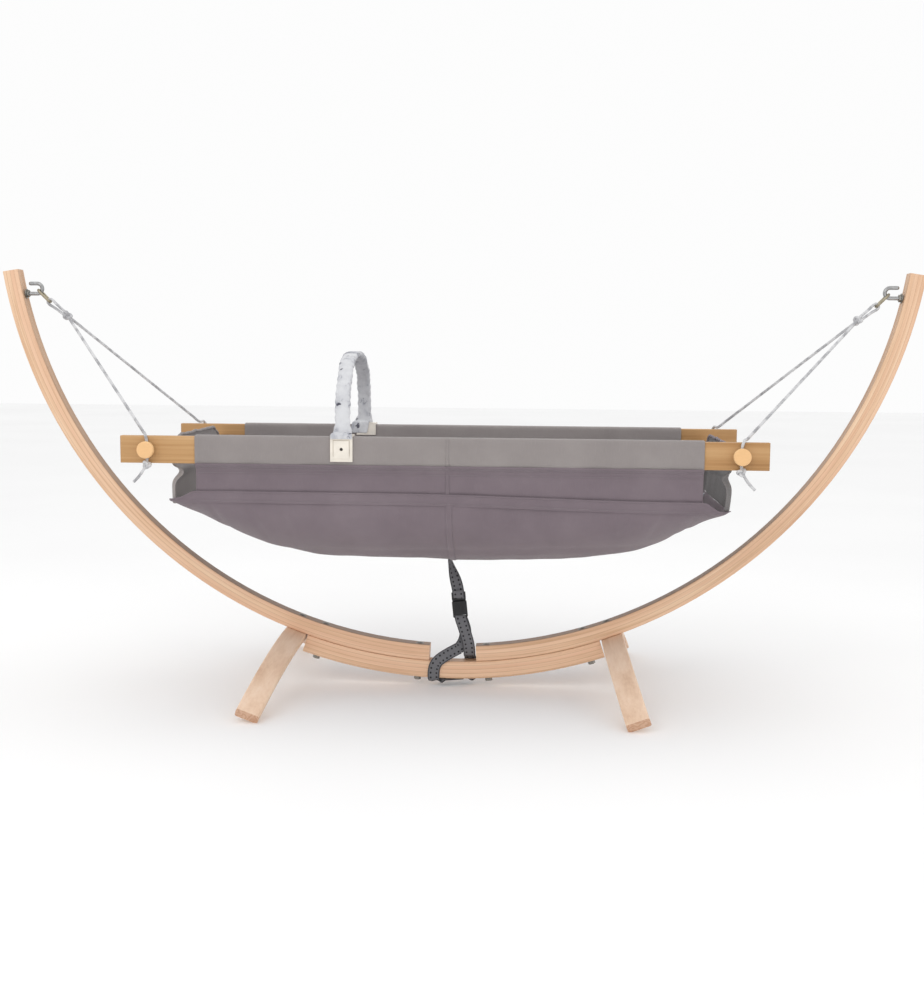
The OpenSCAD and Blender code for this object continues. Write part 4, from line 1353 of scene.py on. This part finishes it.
def make_buckle():
    """A side-release buckle: a socket half with side windows, and a half with two prongs and a ladder."""
    socket = rounded_box("buckle_socket", mm(-15.5, -4.5, -23), mm(15.5, 4.5, 13), 0.0026, 4)
    booleans(socket, "DIFFERENCE", [
        block("cavity", mm(-13, -2.8, -12), mm(13, 2.8, 18)),
        rounded_box("slot", mm(-13, -8, -20.1), mm(13, 8, -17.1), 0.0008, 2),
        rounded_box("window_a", mm(-19, -2, -8), mm(-12.4, 2, 4), 0.0006, 2),
        rounded_box("window_b", mm(12.4, -2, -8), mm(19, 2, 4), 0.0006, 2),
        *[rounded_box("rib", mm(x - 0.7, -5.5, -8), mm(x + 0.7, -4.0, 8), 0.0005, 2) for x in (-7, 0, 7)]])
    socket.data.transform(BUCKLE_PLACE)
    round_edges(socket, 0.00035, 30)
    dress(socket, "tether", BUCKLE, "buckle_plastic", "buckle_female")
    plug = rounded_box("buckle_plug", mm(-14.5, -2.6, 13.4), mm(14.5, 2.6, 18.8), 0.0014, 3)
    parts = [rounded_box("prong", mm(x, -2, -10), mm(x + 3, 2, 15), 0.0009, 2) for x in (-11.8, -1.5, 8.8)]
    parts += [rounded_box("side", mm(x, -2.9, 15), mm(x + 3.3, 2.9, 31.4), 0.0012, 3) for x in (-14.8, 11.5)]
    parts += [rounded_box("bar", mm(-14, -2, z), mm(14, 2, z + 3), 0.0012, 3) for z in (21.5, 28)]
    for x in (-1, 1):
        near, far = sorted((x * 11, x * 14.3))
        parts.append(rounded_box("catch", mm(near, -1.7, -6.6), mm(far, 1.7, 2.6), 0.0008, 2))
    booleans(plug, "UNION", parts)
    plug.data.transform(BUCKLE_PLACE)
    shade_by_angle(plug, 35)
    dress(plug, "buckle_top", BUCKLE, "buckle_plastic", "buckle_male")


# ---- floor and light ----

def make_stage():
    """A pale matt floor, a white room and three soft lamps aimed at the cradle."""
    rows = [[(x, y, 0.0) for y in np.linspace(-14, 14, 8)] for x in np.linspace(-14, 14, 8)]
    floor = surface("floor", rows)
    cleaned(floor, ends=False)
    paint = Paint("floor_matt", Roughness=0.9, Specular_IOR_Level=0.1)
    haze = paint.noise(paint.point(*paint.place()), 0.8, 2.0, 0.5)
    paint.colour(paint.ramp(haze, [(0.3, (0.93, 0.93, 0.93)), (0.7, (0.96, 0.96, 0.96))]))
    floor.data.materials.append(paint.material)
    world = bpy.data.worlds.new("room")
    bpy.context.scene.world = world
    world.use_nodes = True
    background = world.node_tree.nodes["Background"]
    background.inputs[0].default_value = (1.0, 1.0, 1.0, 1.0)
    background.inputs[1].default_value = 0.98
    lamps = (("key", (-1.4, -2.8, 2.7), 2.0, 16), ("front_fill", (1.9, -3.2, 1.4), 2.6, 5),
             ("top", (0.2, 0.6, 3.2), 2.2, 7))
    for name, spot, size, power in lamps:
        data = bpy.data.lights.new(name, "AREA")
        data.shape = "SQUARE"
        data.size = size
        data.energy = power
        lamp = bpy.data.objects.new(name, data)
        bpy.context.scene.collection.objects.link(lamp)
        lamp.location = spot
        lamp.rotation_euler = (Vector((0.0, 0.0, 0.45)) - Vector(spot)).to_track_quat("-Z", "Y").to_euler()
    bpy.context.scene.view_settings.view_transform = "Standard"


make_camera()
make_ropes()
finish_frame()
for depth, word in ((-1, "front"), (1, "rear")):
    make_band(depth, word)
    make_side_panel(depth, word)
make_belly()
make_rims()
make_centre_seam()
make_end_panels()
make_pad()
make_toy_arch()
for depth, word in ((-1, "front"), (1, "rear")):
    make_clamp(depth, word)
make_flaps()
make_side_seams()
make_straps()
make_patch()
make_buckle()
make_stage()
